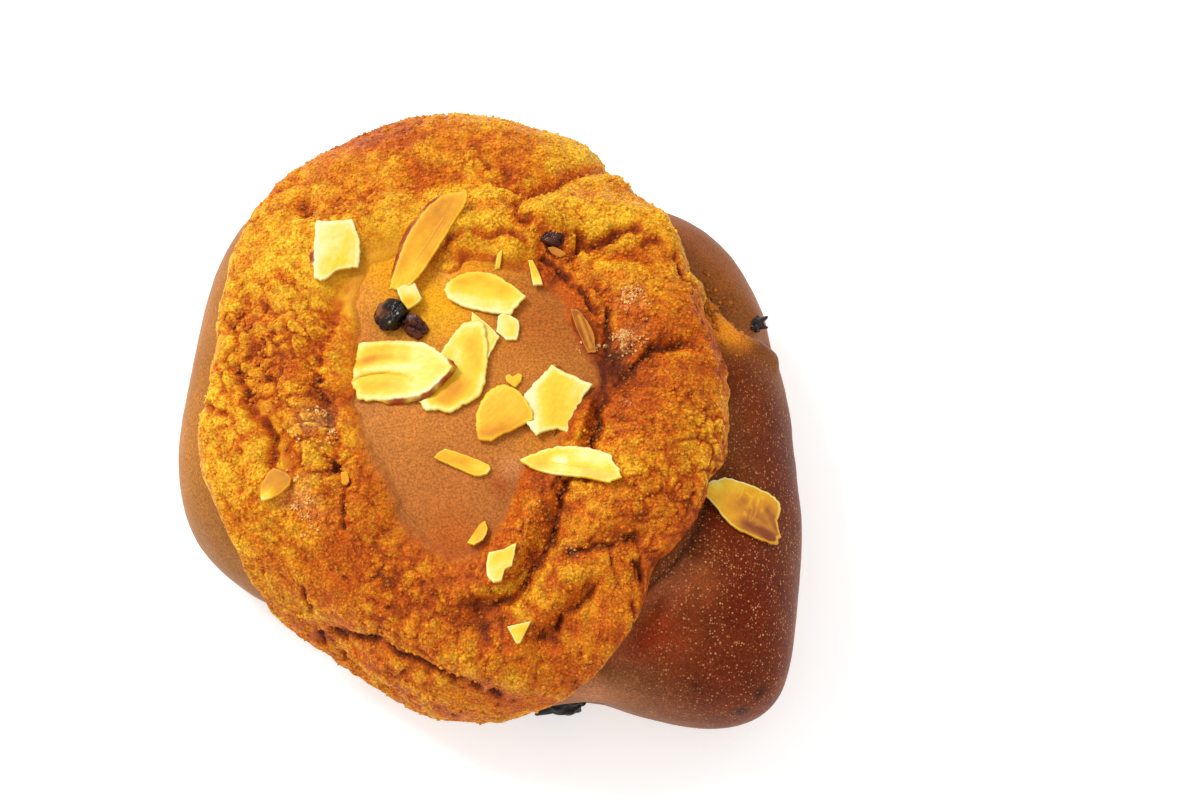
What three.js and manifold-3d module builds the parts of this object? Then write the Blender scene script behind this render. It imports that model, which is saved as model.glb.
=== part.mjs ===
// Melon pan: a sweet bread bun that rose under a ring of cookie dough, with sliced almonds and raisins.
//
// Millimetres, +Z up. The origin is the middle of the flat base, +Y points to the far side and
// bearings are counted in degrees from +X towards +Y. Every surface is the same dome, lifted:
//   slope 0 is the crown, slope 1 the waist (the widest level) and slope 2 the rim of the base.

import * as THREE from 'three';
import { mergeVertices } from 'three/addons/utils/BufferGeometryUtils.js';
import Module from 'manifold-3d';

const wasm = await Module();
wasm.setup();

// Driving dimensions.
const BUN_RADIUS = 58;
const CROWN_HEIGHT = 45;
const WAIST_HEIGHT = 16;
const SHOULDER_POWER = 2.4; // 2 gives a round shoulder, more gives a squarer one
const BASE_TUCK = 0.15; // share of the radius lost between the waist and the base
const WINDOW_RADIUS = 25; // the opening in the crust, where the bread shows
const HEM_HEIGHT = 33; // height of the crust's outer edge
const CRUST_THICKNESS = 4.2;
const CRUST_LEAST = 1.1; // thinnest crust, in the troughs and along the window
const WINDOW_TAPER = 9; // the crust thins over this width towards the window
const HEM_TAPER = 7; // and thins over this width towards the hem
const HEM_SHARE = 0.3; // share of the thickness left at the hem itself
const SLICE_THICKNESS = 0.9;
const GAP = 0.45; // between pieces that lie against each other
const WELD = 1e-3; // vertices nearer than this become one

// Fineness of the facets.
const BREAD_BEARINGS = 72;
const BREAD_RINGS = 18;
const CRUST_BEARINGS = 96;
const CRUST_TOP_STEPS = 26; // from the hem up to the window, over the crust
const CRUST_UNDERSIDE_STEPS = 16; // and back to the hem against the bread
const CURVE_SEGMENTS = 4;
const RAISIN_SEGMENTS = [12, 8];
const LAYING_POINTS = 24; // where the ground under a slice is felt: points round its outline,
const LAYING_RINGS = [0, 0.2, 0.4, 0.6, 0.8, 1]; // brought in towards its middle in these shares

// The dough spreads (or holds back) around these bearings: [bearing, millimetres, spread in degrees].
const DOUGH_LOBES = [
  [311, 16, 14], // front right corner, free of the crust
  [329, 8, 19],
  [101, 4, 15],
  [139, 7, 22],
  [202, 5, 23],
  [235, -8.5, 29],
  [37, 1.5, 12],
  [61, -3.5, 13],
];
const WINDOW_LOBES = [
  [258, 9.5, 22],
  [132, 5.5, 24],
  [35, -7, 24],
  [335, -4.5, 24],
];
const HEM_LOBES = [
  [90, -24, 34], // the crust hangs lower at the back
  [45, 6.5, 46],
  [231, -13, 14], // and lowest at the front, as a folded lip
  [261, -27, 31],
  [288, -1.4, 7],
  [304, 1.1, 10], // beside the bare corner it climbs steeply
  [308, 8, 42],
];
const HEM_TAPER_LOBES = [
  [310, -4, 45], // a blunt hem over the bare corner
  [232, -4, 30], // and at the folded lip
];

// Forms pressed into the crust or raised on it. A path point is [x, y] on the top of the bun, or
// { bearing, height } on its side. Width is the half width, rise is negative for a groove.
const CRUST_FORMS = [
  { path: [[-24, 19], [-28, 12], [-30, 4], [-30, -4], [-27, -13], [-26, -23]], width: 3.5, rise: -2.4 },
  { path: [[-42, 3], [-39, -10], [-34, -18]], width: 3, rise: -1.6 },
  { path: [[-32, -4], [-31, -15], [-28, -24]], width: 3, rise: 1.4 },
  { path: [[-48, 12], [-50, -2], [-46, -16], [-42, -26]], width: 6, rise: 1.2 },
  { path: [[-26, 15], [-18, 24]], width: 4, rise: -2.4 },
  { path: [[11, 22], [17, 18], [22, 11], [23, 0], [21, -10], [17, -20], [12, -32], [6, -42], [0, -45]],
    width: 3.4, rise: -3 },
  { path: [[30, 14], [32, 2], [31, -10], [27, -22], [22, -29]], width: 7, rise: 1.6 },
  { path: [[24, -1], [27, -2], [30, 3], [35, 5]], width: 2.4, rise: -1.6 },
  { path: [[15, -35], [20, -33], [26, -32]], width: 2.2, rise: -1.6 },
  { path: [[19, -41], [14, -45], [11, -48]], width: 3, rise: -2 },
  { path: [[16, -37], [12, -42]], width: 3, rise: 1.2 },
  { path: [[24, -43], [18, -49]], width: 4, rise: 1.4 },
  { path: [[28, -37], [28, -42]], width: 3, rise: -1.4 },
  { path: [[5, 33], [10, 37], [16, 43], [24, 47]], width: 2.4, rise: -2.2 },
  { path: [[10, 30], [18, 31], [27, 30], [33, 28]], width: 5, rise: 2.6 },
  { path: [[6, 28], [12, 24], [20, 23], [28, 22]], width: 2.2, rise: -1.8 },
  { path: [[-12, 39], [2, 39], [8, 37]], width: 3.5, rise: -1.8 },
  { path: [[-25, 45], [-5, 50], [15, 49]], width: 6, rise: 1 },
  { path: [[-12, -38], [-3, -43]], width: 6, rise: -1.6 },
  { path: [[-18, -47], [-4, -51], [10, -52]], width: 5, rise: 1.4 },
  { path: [[-25, -45], [-27, -48], [-22, -51], [-18, -52]], width: 2.2, rise: -2.4 },
  { path: [{ bearing: 236, height: 21 }, { bearing: 248, height: 27 }, { bearing: 262, height: 28 },
    { bearing: 272, height: 26 }], width: 4.5, rise: -1.8 }, // under the folded lip
  { path: [{ bearing: 242, height: 15 }, { bearing: 256, height: 16 }], width: 6, rise: 1.2 },
  { path: [[-35, 35], [-33, 33]], width: 2.5, rise: -1.3 },
  { path: [[-43, 16], [-46, 10]], width: 2.2, rise: -1.2 },
];

// Creases in the bare bread, where one lobe of the dough meets the next.
const BREAD_FOLDS = [
  { path: [[43, 21], { bearing: 18, height: 33 }, { bearing: 15, height: 20 }], width: 3, rise: -2.6 },
  { path: [[48, -14], [42, -33], [31, -47]], width: 3.5, rise: -1.2 }, // the hem bites into the corner
];

// Almond slices, each cut from the flat of a kernel and snapped. The outline's corners go clockwise,
// as [x, y, bulge] from its middle, where bulge is how far the edge to the next corner bows outwards.
const ALMOND_SLICES = [
  { name: 'chip_far_left', at: [-28.5, 24.5], toast: 'pale',
    outline: [[-4.3, 6, -0.3], [2.6, 6.6, 0.3], [4.3, -0.4, 0], [3.8, -3.4, -0.3], [-0.5, -4.6, 0.3],
      [-3.2, -6.7, 0], [-4.4, -6.2, 0.3]] },
  { name: 'curved_far', at: [-11.2, 25.2], toast: 'toasted',
    outline: [[2, 9, 0.2], [7.2, 10, 0], [7.3, 8, 0], [0.8, -2.8, 0.5], [-4.8, -10, 0], [-7.4, -9.6, 0.2],
      [-4.6, 0, 0.8]] },
  { name: 'chip_by_raisin', at: [-14.7, 14.2], toast: 'pale',
    outline: [[-2.4, 1.4, 0.2], [1, 3, 0], [2.4, -0.2, 0.2], [-0.2, -3, 0.3]] },
  { name: 'half_moon', at: [-0.4, 15.6], toast: 'golden',
    outline: [[-7.8, 0.6, 0.5], [-4.6, 4.2, 0.5], [1.8, 4, 0.3], [7.8, -0.9, 0], [4.8, -4.9, 0.2],
      [-2.2, -3.6, 0.2], [-6.5, -1.8, 0.3]] },
  { name: 'flake_middle', at: [-0.3, 6.4], toast: 'pale',
    outline: [[-2.6, 5.1, 0.2], [2.8, -0.1, 0], [0.4, -5.1, 0], [-2.8, -3.3, 0]] },
  { name: 'bent_middle', at: [-6.2, -0.1], toast: 'golden',
    outline: [[1.8, 9.1, 0], [5.7, 9.1, 0.3], [6.4, 1.2, 0.3], [5.4, -5.8, 0.2], [-0.4, -9.1, -0.2],
      [-5.1, -8.9, 0], [-6.4, -6.6, 0], [-2.5, 2.9, 0.2]] },
  { name: 'chip_square', at: [3.9, 8.4], toast: 'pale',
    outline: [[-1.8, 2.1, 0.2], [0, 2.8, 0], [2.2, 1.3, 0.2], [1.8, -2.7, 0], [-0.2, -2.7, 0],
      [-2.1, -0.9, 0]] },
  { name: 'half_left', at: [-15.6, -0.6], toast: 'striped',
    outline: [[-8.4, 6.3, 0.5], [3.2, 6, 0.8], [9.5, -0.2, 0.6], [3.4, -5.6, 0.4], [-8.6, -5.5, 0],
      [-9.5, -1.8, 0.2]] },
  { name: 'square_right', at: [13.6, -6.9], toast: 'golden',
    outline: [[-6.4, 1.3, 0.2], [-1.4, 7.3, 0], [3.1, 5, 0], [6.4, 3.5, 0], [4.6, 1, 0.2], [1.8, -6.5, 0],
      [-0.2, -5.7, -0.3], [-4, -7.3, 0], [-6.3, -4.6, 0.2]] },
  { name: 'half_round', at: [3.8, -9.4], toast: 'toasted',
    outline: [[-5.2, -5.2, 0.6], [-5.2, 1, 0.8], [-1.6, 5.6, 0.5], [2, 4.6, 0.6], [5.4, -1.5, 0],
      [3.4, -2.5, 0], [-2.7, -5.7, 0.2]] },
  { name: 'sliver_far', at: [9.1, 19.9], toast: 'pale',
    outline: [[-1.4, 2.8, 0], [-0.6, 2.8, 0.2], [1.4, -2.5, 0], [-0.4, -2.8, 0]] },
  { name: 'stick_middle', at: [-4.5, -18.9], toast: 'golden',
    outline: [[-5.3, 1, 0], [-3.1, 2.7, 0.2], [5.3, -0.7, 0.3], [5, -2.5, 0.1], [2.5, -2.7, 0]] },
  { name: 'leaf_right', at: [15.9, -20.9], toast: 'golden',
    outline: [[-9.5, 2, 0.3], [-2.5, 4.5, 0.4], [4.5, 3.1, 0.2], [7.5, 1.2, 0.2], [9.5, -3.8, 0],
      [7.3, -4.5, 0], [2.9, -2.8, 0], [-4.5, -1.1, 0.3]] },
  { name: 'tucked_right', at: [47.9, -24.8], toast: 'browned', tucked: true,
    outline: [[-8.2, 2.6, 0.2], [-2.8, 5.5, 0.3], [4.4, 4.4, 0.4], [7.9, 2, 0.1], [6.8, -0.8, 0],
      [7.4, -4, 0.5], [5.4, -5.7, 0.2], [-1.3, -4.4, 0.3], [-4.5, -1.4, 0]] },
  { name: 'browned_left', at: [-38.7, -22.8], toast: 'browned',
    outline: [[-2.9, -2.9, 0.2], [-2.9, 0, 0.3], [-0.7, 3, 0.3], [2.9, 0.8, 0], [2.5, -0.4, 0.6]] },
  { name: 'sliver_front', at: [-1.3, -32.3], toast: 'toasted',
    outline: [[-1.9, -1.7, 0], [0.3, 1.8, 0.1], [1.4, 2.5, 0], [1.9, 0.8, 0.2], [1.1, -1.6, 0],
      [-0.6, -2.4, 0]] },
  { name: 'chip_front', at: [3.3, -38.9], toast: 'pale',
    outline: [[-2.5, 2.2, 0], [0.4, 2.5, 0.1], [2.7, 3.4, 0], [1.9, -0.6, 0], [0.6, -1.1, 0], [0, -3.2, 0],
      [-1.5, -3.4, 0.1], [-2.7, -2, 0.2]] },
  { name: 'triangle_front', at: [6.5, -50.4], toast: 'pale',
    outline: [[-2.2, 1.2, 0], [2.2, 1.9, 0], [0.2, -1.8, 0], [-0.5, -1.9, 0]] },
  { name: 'skin_right', at: [18.2, 7.1], toast: 'skin',
    outline: [[-2.4, 3.9, 0], [-1.2, 3.9, 0.3], [2, -0.6, 0], [2.4, -3.9, 0], [0.9, -3.9, 0.2]] },
];
const BREAD_COLOUR = 0x8a4a26;
const CRUST_COLOUR = 0xd98a2b;
const ALMOND_COLOURS = {
  pale: 0xfcee7c, golden: 0xf8cf52, striped: 0xf9d25a, toasted: 0xf0aa33, browned: 0xc9782c, skin: 0x9a5330,
};

// Raisins, as lumpy ellipsoids sunk into the dough. Size is [length, width, height], turn a bearing.
const RAISINS = [
  { name: 'raisin_window', at: [-18, 10.8, 45.6], size: [7, 6, 6], turn: 30, colour: 0x1c1110 },
  { name: 'raisin_window_right', at: [-13.8, 8.4, 45.2], size: [6, 5, 5], turn: -20, colour: 0x4a1d10 },
  { name: 'raisin_under_flap', at: [12.2, 27.6, 45], size: [7.6, 3.8, 4.4], turn: -22, colour: 0x2a1712 },
  { name: 'raisin_right_side', at: [51.2, 18, 26.8], size: [6, 4.2, 3.8], turn: 15, colour: 0x1f1512 },
  { name: 'raisin_front_base', at: [13, -52.2, 6.5], size: [14, 6, 8], turn: 6, colour: 0x1a1210 },
];
const RAISIN_LUMPS = 0.1; // share of the radius that the wrinkles take

const QUARTER_TURN = Math.PI / 2;
const radians = THREE.MathUtils.degToRad;

// Base value plus the sum of bell curves around the lobes' bearings.
function swell(base, lobes, bearing) {
  return lobes.reduce((sum, [at, by, spread]) => {
    const away = THREE.MathUtils.euclideanModulo(bearing - at + 180, 360) - 180;
    return sum + by * Math.exp(-((away / spread) ** 2));
  }, base);
}

const bunRadius = (bearing) => swell(BUN_RADIUS, DOUGH_LOBES, bearing);
const hemHeight = (bearing) => swell(HEM_HEIGHT, HEM_LOBES, bearing);
const hemTaper = (bearing) => swell(HEM_TAPER, HEM_TAPER_LOBES, bearing);
const windowRadius = (bearing) => swell(WINDOW_RADIUS, WINDOW_LOBES, bearing);

// Point of the dome at a bearing and slope, lifted off the bread by so many millimetres. Above the
// waist the profile is a quarter of a superellipse; below it, the sides tuck in along a cosine.
function dome(bearing, slope, lift) {
  const reach = bunRadius(bearing) + lift;
  let radius = reach;
  let height = 0;
  if (slope <= 1) {
    const angle = slope * QUARTER_TURN;
    radius *= Math.sin(angle) ** (2 / SHOULDER_POWER);
    height = WAIST_HEIGHT + (CROWN_HEIGHT + lift - WAIST_HEIGHT) * Math.cos(angle) ** (2 / SHOULDER_POWER);
  } else {
    const angle = (slope - 1) * QUARTER_TURN;
    radius *= 1 - BASE_TUCK * (1 - Math.cos(angle));
    height = WAIST_HEIGHT * (1 - Math.sin(angle));
  }
  return new THREE.Vector3(radius * Math.cos(radians(bearing)), radius * Math.sin(radians(bearing)), height);
}

// Slope of the dome at a plan radius above the waist, and at a height.
function slopeAtRadius(bearing, radius) {
  const share = Math.min(1, radius / bunRadius(bearing));
  return Math.asin(share ** (SHOULDER_POWER / 2)) / QUARTER_TURN;
}

function slopeAtHeight(height) {
  if (height < WAIST_HEIGHT) return 1 + Math.asin(1 - height / WAIST_HEIGHT) / QUARTER_TURN;
  const share = (height - WAIST_HEIGHT) / (CROWN_HEIGHT - WAIST_HEIGHT);
  return Math.acos(Math.min(1, share) ** (SHOULDER_POWER / 2)) / QUARTER_TURN;
}

const bearingOf = (x, y) => THREE.MathUtils.euclideanModulo(THREE.MathUtils.radToDeg(Math.atan2(y, x)), 360);

function pointOnDome(place) {
  if (Array.isArray(place)) {
    const bearing = bearingOf(...place);
    return dome(bearing, slopeAtRadius(bearing, Math.hypot(...place)), 0);
  }
  return dome(place.bearing, slopeAtHeight(place.height), 0);
}

// Sum of the forms' rises at a point of the dome: a bell curve of the distance to each path.
function relief(forms, point) {
  const nearest = new THREE.Vector3();
  return forms.reduce((sum, form) => {
    const distance = Math.min(...form.lines.map((line) => {
      line.closestPointToPoint(point, true, nearest);
      return nearest.distanceTo(point);
    }));
    return sum + form.rise * Math.exp(-((distance / form.width) ** 2));
  }, 0);
}

function withLines(form) {
  const points = form.path.map(pointOnDome);
  return { ...form, lines: points.slice(1).map((end, i) => new THREE.Line3(points[i], end)) };
}

const crustForms = CRUST_FORMS.map(withLines);
const breadFolds = BREAD_FOLDS.map(withLines);

// Thickness of the crust between its window (slope edges.inner) and its hem (edges.outer).
function crustEdges(bearing) {
  return { inner: slopeAtRadius(bearing, windowRadius(bearing)), outer: slopeAtHeight(hemHeight(bearing)) };
}

function crustThickness(bearing, slope) {
  const edges = crustEdges(bearing);
  const point = dome(bearing, slope, 0);
  const fromWindow = point.distanceTo(dome(bearing, edges.inner, 0));
  const fromHem = point.distanceTo(dome(bearing, edges.outer, 0));
  const taper = THREE.MathUtils.smoothstep(fromWindow, 0, WINDOW_TAPER)
    * THREE.MathUtils.lerp(HEM_SHARE, 1, THREE.MathUtils.smoothstep(fromHem, 0, hemTaper(bearing)));
  const full = (CRUST_THICKNESS + relief(crustForms, point)) * taper;
  return Math.max(CRUST_LEAST, full);
}

// Moves every vertex of a three.js geometry and welds it into one closed surface.
function reshape(geometry, move) {
  geometry.deleteAttribute('normal');
  geometry.deleteAttribute('uv');
  const positions = geometry.attributes.position;
  const point = new THREE.Vector3();
  for (let i = 0; i < positions.count; i += 1) {
    point.fromBufferAttribute(positions, i);
    move(point, i);
    positions.setXYZ(i, point.x, point.y, point.z);
  }
  return mergeVertices(geometry, WELD);
}

function toSolid(geometry) {
  return new wasm.Manifold(new wasm.Mesh({
    numProp: 3,
    vertProperties: new Float32Array(geometry.attributes.position.array),
    triVerts: new Uint32Array(geometry.index.array),
  }));
}

// The largest body of a cut solid, as a geometry.
function toGeometry(solid) {
  const bodies = solid.decompose().sort((a, b) => b.volume() - a.volume());
  const mesh = bodies[0].getMesh();
  const geometry = new THREE.BufferGeometry();
  geometry.setAttribute('position', new THREE.BufferAttribute(mesh.vertProperties, 3));
  geometry.setIndex(new THREE.BufferAttribute(mesh.triVerts, 1));
  return geometry;
}

function cut(geometry, tools) {
  return toGeometry(tools.reduce((solid, tool) => solid.subtract(toSolid(tool)), toSolid(geometry)));
}

// The bread: a sphere's grid, whose rows become rings of the dome and whose last row is the base.
function breadGeometry() {
  const columns = BREAD_BEARINGS + 1;
  return reshape(new THREE.SphereGeometry(1, BREAD_BEARINGS, BREAD_RINGS), (point, i) => {
    const row = Math.floor(i / columns);
    if (row === BREAD_RINGS) {
      point.set(0, 0, 0);
      return;
    }
    const bearing = (360 * (i % columns)) / BREAD_BEARINGS;
    const slope = (2 * row) / (BREAD_RINGS - 1);
    const onSide = slope < 2 ? relief(breadFolds, dome(bearing, slope, 0)) : 0;
    point.copy(dome(bearing, slope, row === 0 ? 0 : onSide));
  });
}

// The crust: a torus's grid, whose tube is flattened onto the bread from the window to the hem.
function crustGeometry() {
  const columns = CRUST_BEARINGS + 1;
  const steps = CRUST_TOP_STEPS + CRUST_UNDERSIDE_STEPS;
  const torus = new THREE.TorusGeometry(2, 1, steps, CRUST_BEARINGS);
  return reshape(torus, (point, i) => {
    const step = Math.floor(i / columns) % steps;
    const bearing = (360 * (i % columns)) / CRUST_BEARINGS;
    const onTop = step <= CRUST_TOP_STEPS;
    const share = onTop ? 1 - step / CRUST_TOP_STEPS : (step - CRUST_TOP_STEPS) / CRUST_UNDERSIDE_STEPS;
    const across = (1 - Math.cos(Math.PI * share)) / 2;
    const edges = crustEdges(bearing);
    const slope = THREE.MathUtils.lerp(edges.inner, edges.outer, across);
    const thickness = crustThickness(bearing, slope);
    const atEdge = step === 0 || step === CRUST_TOP_STEPS;
    const lift = atEdge ? thickness / 2 : thickness;
    point.copy(dome(bearing, slope, GAP + (onTop ? lift : 0)));
  });
}

// A raisin: a sphere stretched to size, wrinkled by crossing waves and turned in plan.
function raisinGeometry({ at, size, turn }, grow) {
  const turned = new THREE.Matrix4().makeRotationZ(radians(turn)).setPosition(...at);
  return reshape(new THREE.SphereGeometry(1, ...RAISIN_SEGMENTS), (point) => {
    const wrinkle = Math.sin(4 * point.x + 1) * Math.cos(5 * point.y) * Math.sin(4 * point.z);
    point.multiplyScalar(1 + RAISIN_LUMPS * wrinkle);
    point.set(...point.toArray().map((value, axis) => value * (size[axis] / 2 + grow)));
    point.applyMatrix4(turned);
  });
}

// The outline of a slice in plan, each bulging edge being a quadratic curve.
function sliceShape({ at, outline }) {
  const shape = new THREE.Shape();
  const [middleX, middleY] = at;
  shape.moveTo(middleX + outline[0][0], middleY + outline[0][1]);
  outline.forEach(([x, y, bulge], i) => {
    const [nextX, nextY] = outline[(i + 1) % outline.length];
    const length = Math.hypot(nextX - x, nextY - y);
    const outX = (-(nextY - y) / length) * 2 * bulge;
    const outY = ((nextX - x) / length) * 2 * bulge;
    const endX = middleX + nextX;
    const endY = middleY + nextY;
    if (bulge === 0) {
      shape.lineTo(endX, endY);
      return;
    }
    shape.quadraticCurveTo(middleX + (x + nextX) / 2 + outX, middleY + (y + nextY) / 2 + outY, endX, endY);
  });
  return shape;
}

// Plane z = a + b x + c y through the ground under a slice, by least squares.
function meanPlane(samples) {
  const normal = new THREE.Matrix3().multiplyScalar(0);
  const right = new THREE.Vector3();
  samples.forEach(({ x, y, z }) => {
    const row = [1, x, y];
    row.forEach((left, i) => row.forEach((top, j) => {
      normal.elements[3 * j + i] += left * top;
    }));
    right.add(new THREE.Vector3(z, x * z, y * z));
  });
  return right.applyMatrix3(normal.invert());
}

// Height of the highest surface over a plan point.
function topAt(x, y, meshes) {
  const ray = new THREE.Raycaster(new THREE.Vector3(x, y, 2 * CROWN_HEIGHT), new THREE.Vector3(0, 0, -1));
  return ray.intersectObjects(meshes)[0].point.z;
}

// Lays a slice on whatever is under it: it takes the mean slope of that ground, and comes down until
// its nearest point is a gap away.
function laySlice(slice, meshes) {
  const shape = sliceShape(slice);
  const [middleX, middleY] = slice.at;
  const samples = LAYING_RINGS.flatMap((share) => shape.getSpacedPoints(LAYING_POINTS).map((corner) => {
    const x = middleX + (corner.x - middleX) * share;
    const y = middleY + (corner.y - middleY) * share;
    return { x, y, z: topAt(x, y, meshes) };
  }));
  const plane = meanPlane(samples);
  const height = (x, y) => plane.x + plane.y * x + plane.z * y;
  const rise = GAP + Math.max(...samples.map(({ x, y, z }) => z - height(x, y)));
  return { shape, bottom: (x, y) => height(x, y) + rise };
}

function sliceGeometry({ shape, bottom }, grow) {
  const depth = SLICE_THICKNESS + 2 * grow;
  const options = { depth, bevelEnabled: false, curveSegments: CURVE_SEGMENTS };
  return reshape(new THREE.ExtrudeGeometry(shape, options), (point) => {
    point.z += bottom(point.x, point.y) - grow;
  });
}

function makeMesh(name, geometry, colour, roughness) {
  const material = new THREE.MeshStandardMaterial({ color: colour, roughness, metalness: 0 });
  const mesh = new THREE.Mesh(geometry, material);
  mesh.name = name;
  return mesh;
}

const raisinPockets = RAISINS.map((raisin) => raisinGeometry(raisin, GAP));
const raisins = RAISINS.map((raisin, i) => {
  const geometry = cut(raisinGeometry(raisin, 0), raisinPockets.slice(0, i));
  return makeMesh(raisin.name, geometry, raisin.colour, 0.3);
});
const bread = makeMesh('bread', cut(breadGeometry(), raisinPockets), BREAD_COLOUR, 0.45);

const tuckedSlices = ALMOND_SLICES.filter(({ tucked }) => tucked);
const tuckedPockets = tuckedSlices.map((slice) => sliceGeometry(laySlice(slice, [bread]), GAP));
const crustPockets = [...raisinPockets, ...tuckedPockets];
const crust = makeMesh('cookie_crust', cut(crustGeometry(), crustPockets), CRUST_COLOUR, 0.9);

// The slices are laid one after another, so that a later one can rest on an earlier one.
const slices = ALMOND_SLICES.reduce((laid, slice) => {
  const ground = slice.tucked ? [bread] : [bread, crust, ...raisins, ...laid];
  const geometry = sliceGeometry(laySlice(slice, ground), 0);
  return [...laid, makeMesh(`almond_${slice.name}`, geometry, ALMOND_COLOURS[slice.toast], 0.55)];
}, []);

export default new THREE.Group().add(bread, crust, ...raisins, ...slices);
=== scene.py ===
"""A melon pan: a sweet bread bun that rose and burst through a ring of cookie dough, strewn with
sliced almonds and raisins. Lengths are millimetres until a mesh is made, +Z is up, and bearings
are degrees from +X towards +Y."""

import bpy
import numpy as np
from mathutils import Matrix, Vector
from mathutils.bvhtree import BVHTree


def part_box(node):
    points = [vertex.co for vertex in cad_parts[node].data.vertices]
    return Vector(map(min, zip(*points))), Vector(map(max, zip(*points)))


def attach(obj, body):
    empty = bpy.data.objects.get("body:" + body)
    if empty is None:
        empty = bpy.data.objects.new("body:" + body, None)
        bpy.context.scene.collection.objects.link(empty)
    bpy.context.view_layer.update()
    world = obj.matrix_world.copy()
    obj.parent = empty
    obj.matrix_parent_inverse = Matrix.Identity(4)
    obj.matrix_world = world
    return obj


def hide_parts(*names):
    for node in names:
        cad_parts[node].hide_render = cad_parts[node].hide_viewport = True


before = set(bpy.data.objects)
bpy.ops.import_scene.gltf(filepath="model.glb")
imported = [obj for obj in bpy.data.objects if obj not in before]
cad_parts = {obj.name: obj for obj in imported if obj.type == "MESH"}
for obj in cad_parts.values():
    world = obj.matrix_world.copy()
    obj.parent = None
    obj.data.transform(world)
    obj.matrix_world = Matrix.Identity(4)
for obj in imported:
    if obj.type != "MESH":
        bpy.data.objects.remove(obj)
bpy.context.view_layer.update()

# ------------------------------------------------------------------------------------------------
# Bread bun
# A milk bread dough, proofed until it pushed one corner out from under its cookie dough. It was
# washed with egg and baked to a thin, satiny skin, palest where the cookie dough shaded it.
# ------------------------------------------------------------------------------------------------

BUN_RADIUS = 58.0
CROWN_HEIGHT = 45.0
WAIST_HEIGHT = 16.0
SHOULDER_POWER = 2.4  # 2 gives a round shoulder, more gives a squarer one
BASE_TUCK = 0.15  # share of the radius lost between the waist and the base
DOUGH_LOBES = np.array([  # [bearing, millimetres further out, spread in degrees]
    [311, 16, 14], [329, 8, 19], [101, 4, 15], [139, 7, 22], [202, 5, 23], [235, -8.5, 29],
    [37, 1.5, 12], [61, -3.5, 13]])
BREAD_GRID = (188, 500)  # rings from crown to base, and points round each


def bell(away, spread, power=2):
    """Bell curve of a distance: 1 at none, 1/e at the spread, and squarer with a higher power."""
    return np.exp(-((away / spread) ** power))


def swell(base, lobes, bearing):
    """Base value plus the sum of bell curves around the lobes' bearings."""
    away = (bearing[..., None] - lobes[:, 0] + 180) % 360 - 180
    return base + (lobes[:, 1] * bell(away, lobes[:, 2])).sum(-1)


def bun_radius(bearing):
    """Radius of the bun at its waist."""
    return swell(BUN_RADIUS, DOUGH_LOBES, bearing)


def dome(bearing, slope, lift):
    """Points of the bun's form, lifted off it. Slope runs from 0 at the crown over 1 at the waist to
    2 at the rim of the base: a quarter of a superellipse above, and a cosine tuck below."""
    reach = bun_radius(bearing) + lift
    upper = np.minimum(slope, 1) * np.pi / 2
    lower = (np.maximum(slope, 1) - 1) * np.pi / 2
    radius = reach * np.abs(np.sin(upper)) ** (2 / SHOULDER_POWER)
    radius = radius * (1 - BASE_TUCK * (1 - np.cos(lower)))
    rise = (CROWN_HEIGHT + lift - WAIST_HEIGHT) * np.abs(np.cos(upper)) ** (2 / SHOULDER_POWER)
    height = np.where(slope <= 1, WAIST_HEIGHT + rise, WAIST_HEIGHT * (1 - np.sin(lower)))
    turn = np.radians(bearing)
    return np.stack(np.broadcast_arrays(radius * np.cos(turn), radius * np.sin(turn), height), -1)


def slope_at_radius(bearing, radius):
    """Slope of the form at a plan radius, above the waist."""
    share = np.minimum(1, radius / bun_radius(bearing))
    return np.arcsin(share ** (SHOULDER_POWER / 2)) * 2 / np.pi


def slope_at_height(height):
    """Slope of the form at a height."""
    above = np.clip((height - WAIST_HEIGHT) / (CROWN_HEIGHT - WAIST_HEIGHT), 0, 1)
    below = np.clip(1 - height / WAIST_HEIGHT, 0, 1)
    upper = np.arccos(above ** (SHOULDER_POWER / 2)) * 2 / np.pi
    return np.where(height < WAIST_HEIGHT, 1 + np.arcsin(below) * 2 / np.pi, upper)


def top(*places):
    """Path over the top of the bun, through places given as (x, y)."""
    x, y = np.array(places, float).T
    bearing = np.degrees(np.arctan2(y, x))
    return dome(bearing, slope_at_radius(bearing, np.hypot(x, y)), 0)


def side(*places):
    """Path round the side of the bun, through places given as (bearing, height)."""
    bearing, height = np.array(places, float).T
    return dome(bearing, slope_at_height(height), 0)


def from_path(points, path):
    """Distance of each point to a path, and on which side it lies: more than 0 is left in plan."""
    best = np.full(points.shape[:-1], np.inf)
    left = np.zeros_like(best)
    for start, end in zip(path[:-1], path[1:]):
        along = end - start
        share = np.clip((points - start) @ along / (along @ along), 0, 1)
        away = points - start - share[..., None] * along
        distance = np.linalg.norm(away, axis=-1)
        across = along[0] * away[..., 1] - along[1] * away[..., 0]
        left = np.where(distance < best, across / np.hypot(along[0], along[1]), left)
        best = np.minimum(best, distance)
    return best, left


def relief(points, forms):
    """Sum of the forms' rises: a bell curve of the distance to each path, (path, half width, rise)."""
    return sum(rise * bell(from_path(points, path)[0], width) for path, width, rise in forms)


def near(points, place, spread, power=2):
    """Bell curve of each point's distance to a place."""
    return bell(np.linalg.norm(points - np.array(place), axis=-1), spread, power)


def lattice_random(corner, seed):
    """One random number from 0 to 1 for each corner of a lattice of whole numbers."""
    key = corner @ np.array([73856093, 19349663, 83492791]) + seed * 7919
    key = (key ^ (key >> 13)) * 1274126177
    key = (key ^ (key >> 16)) & 0xFFFFFF
    return key / 0xFFFFFF


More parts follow.
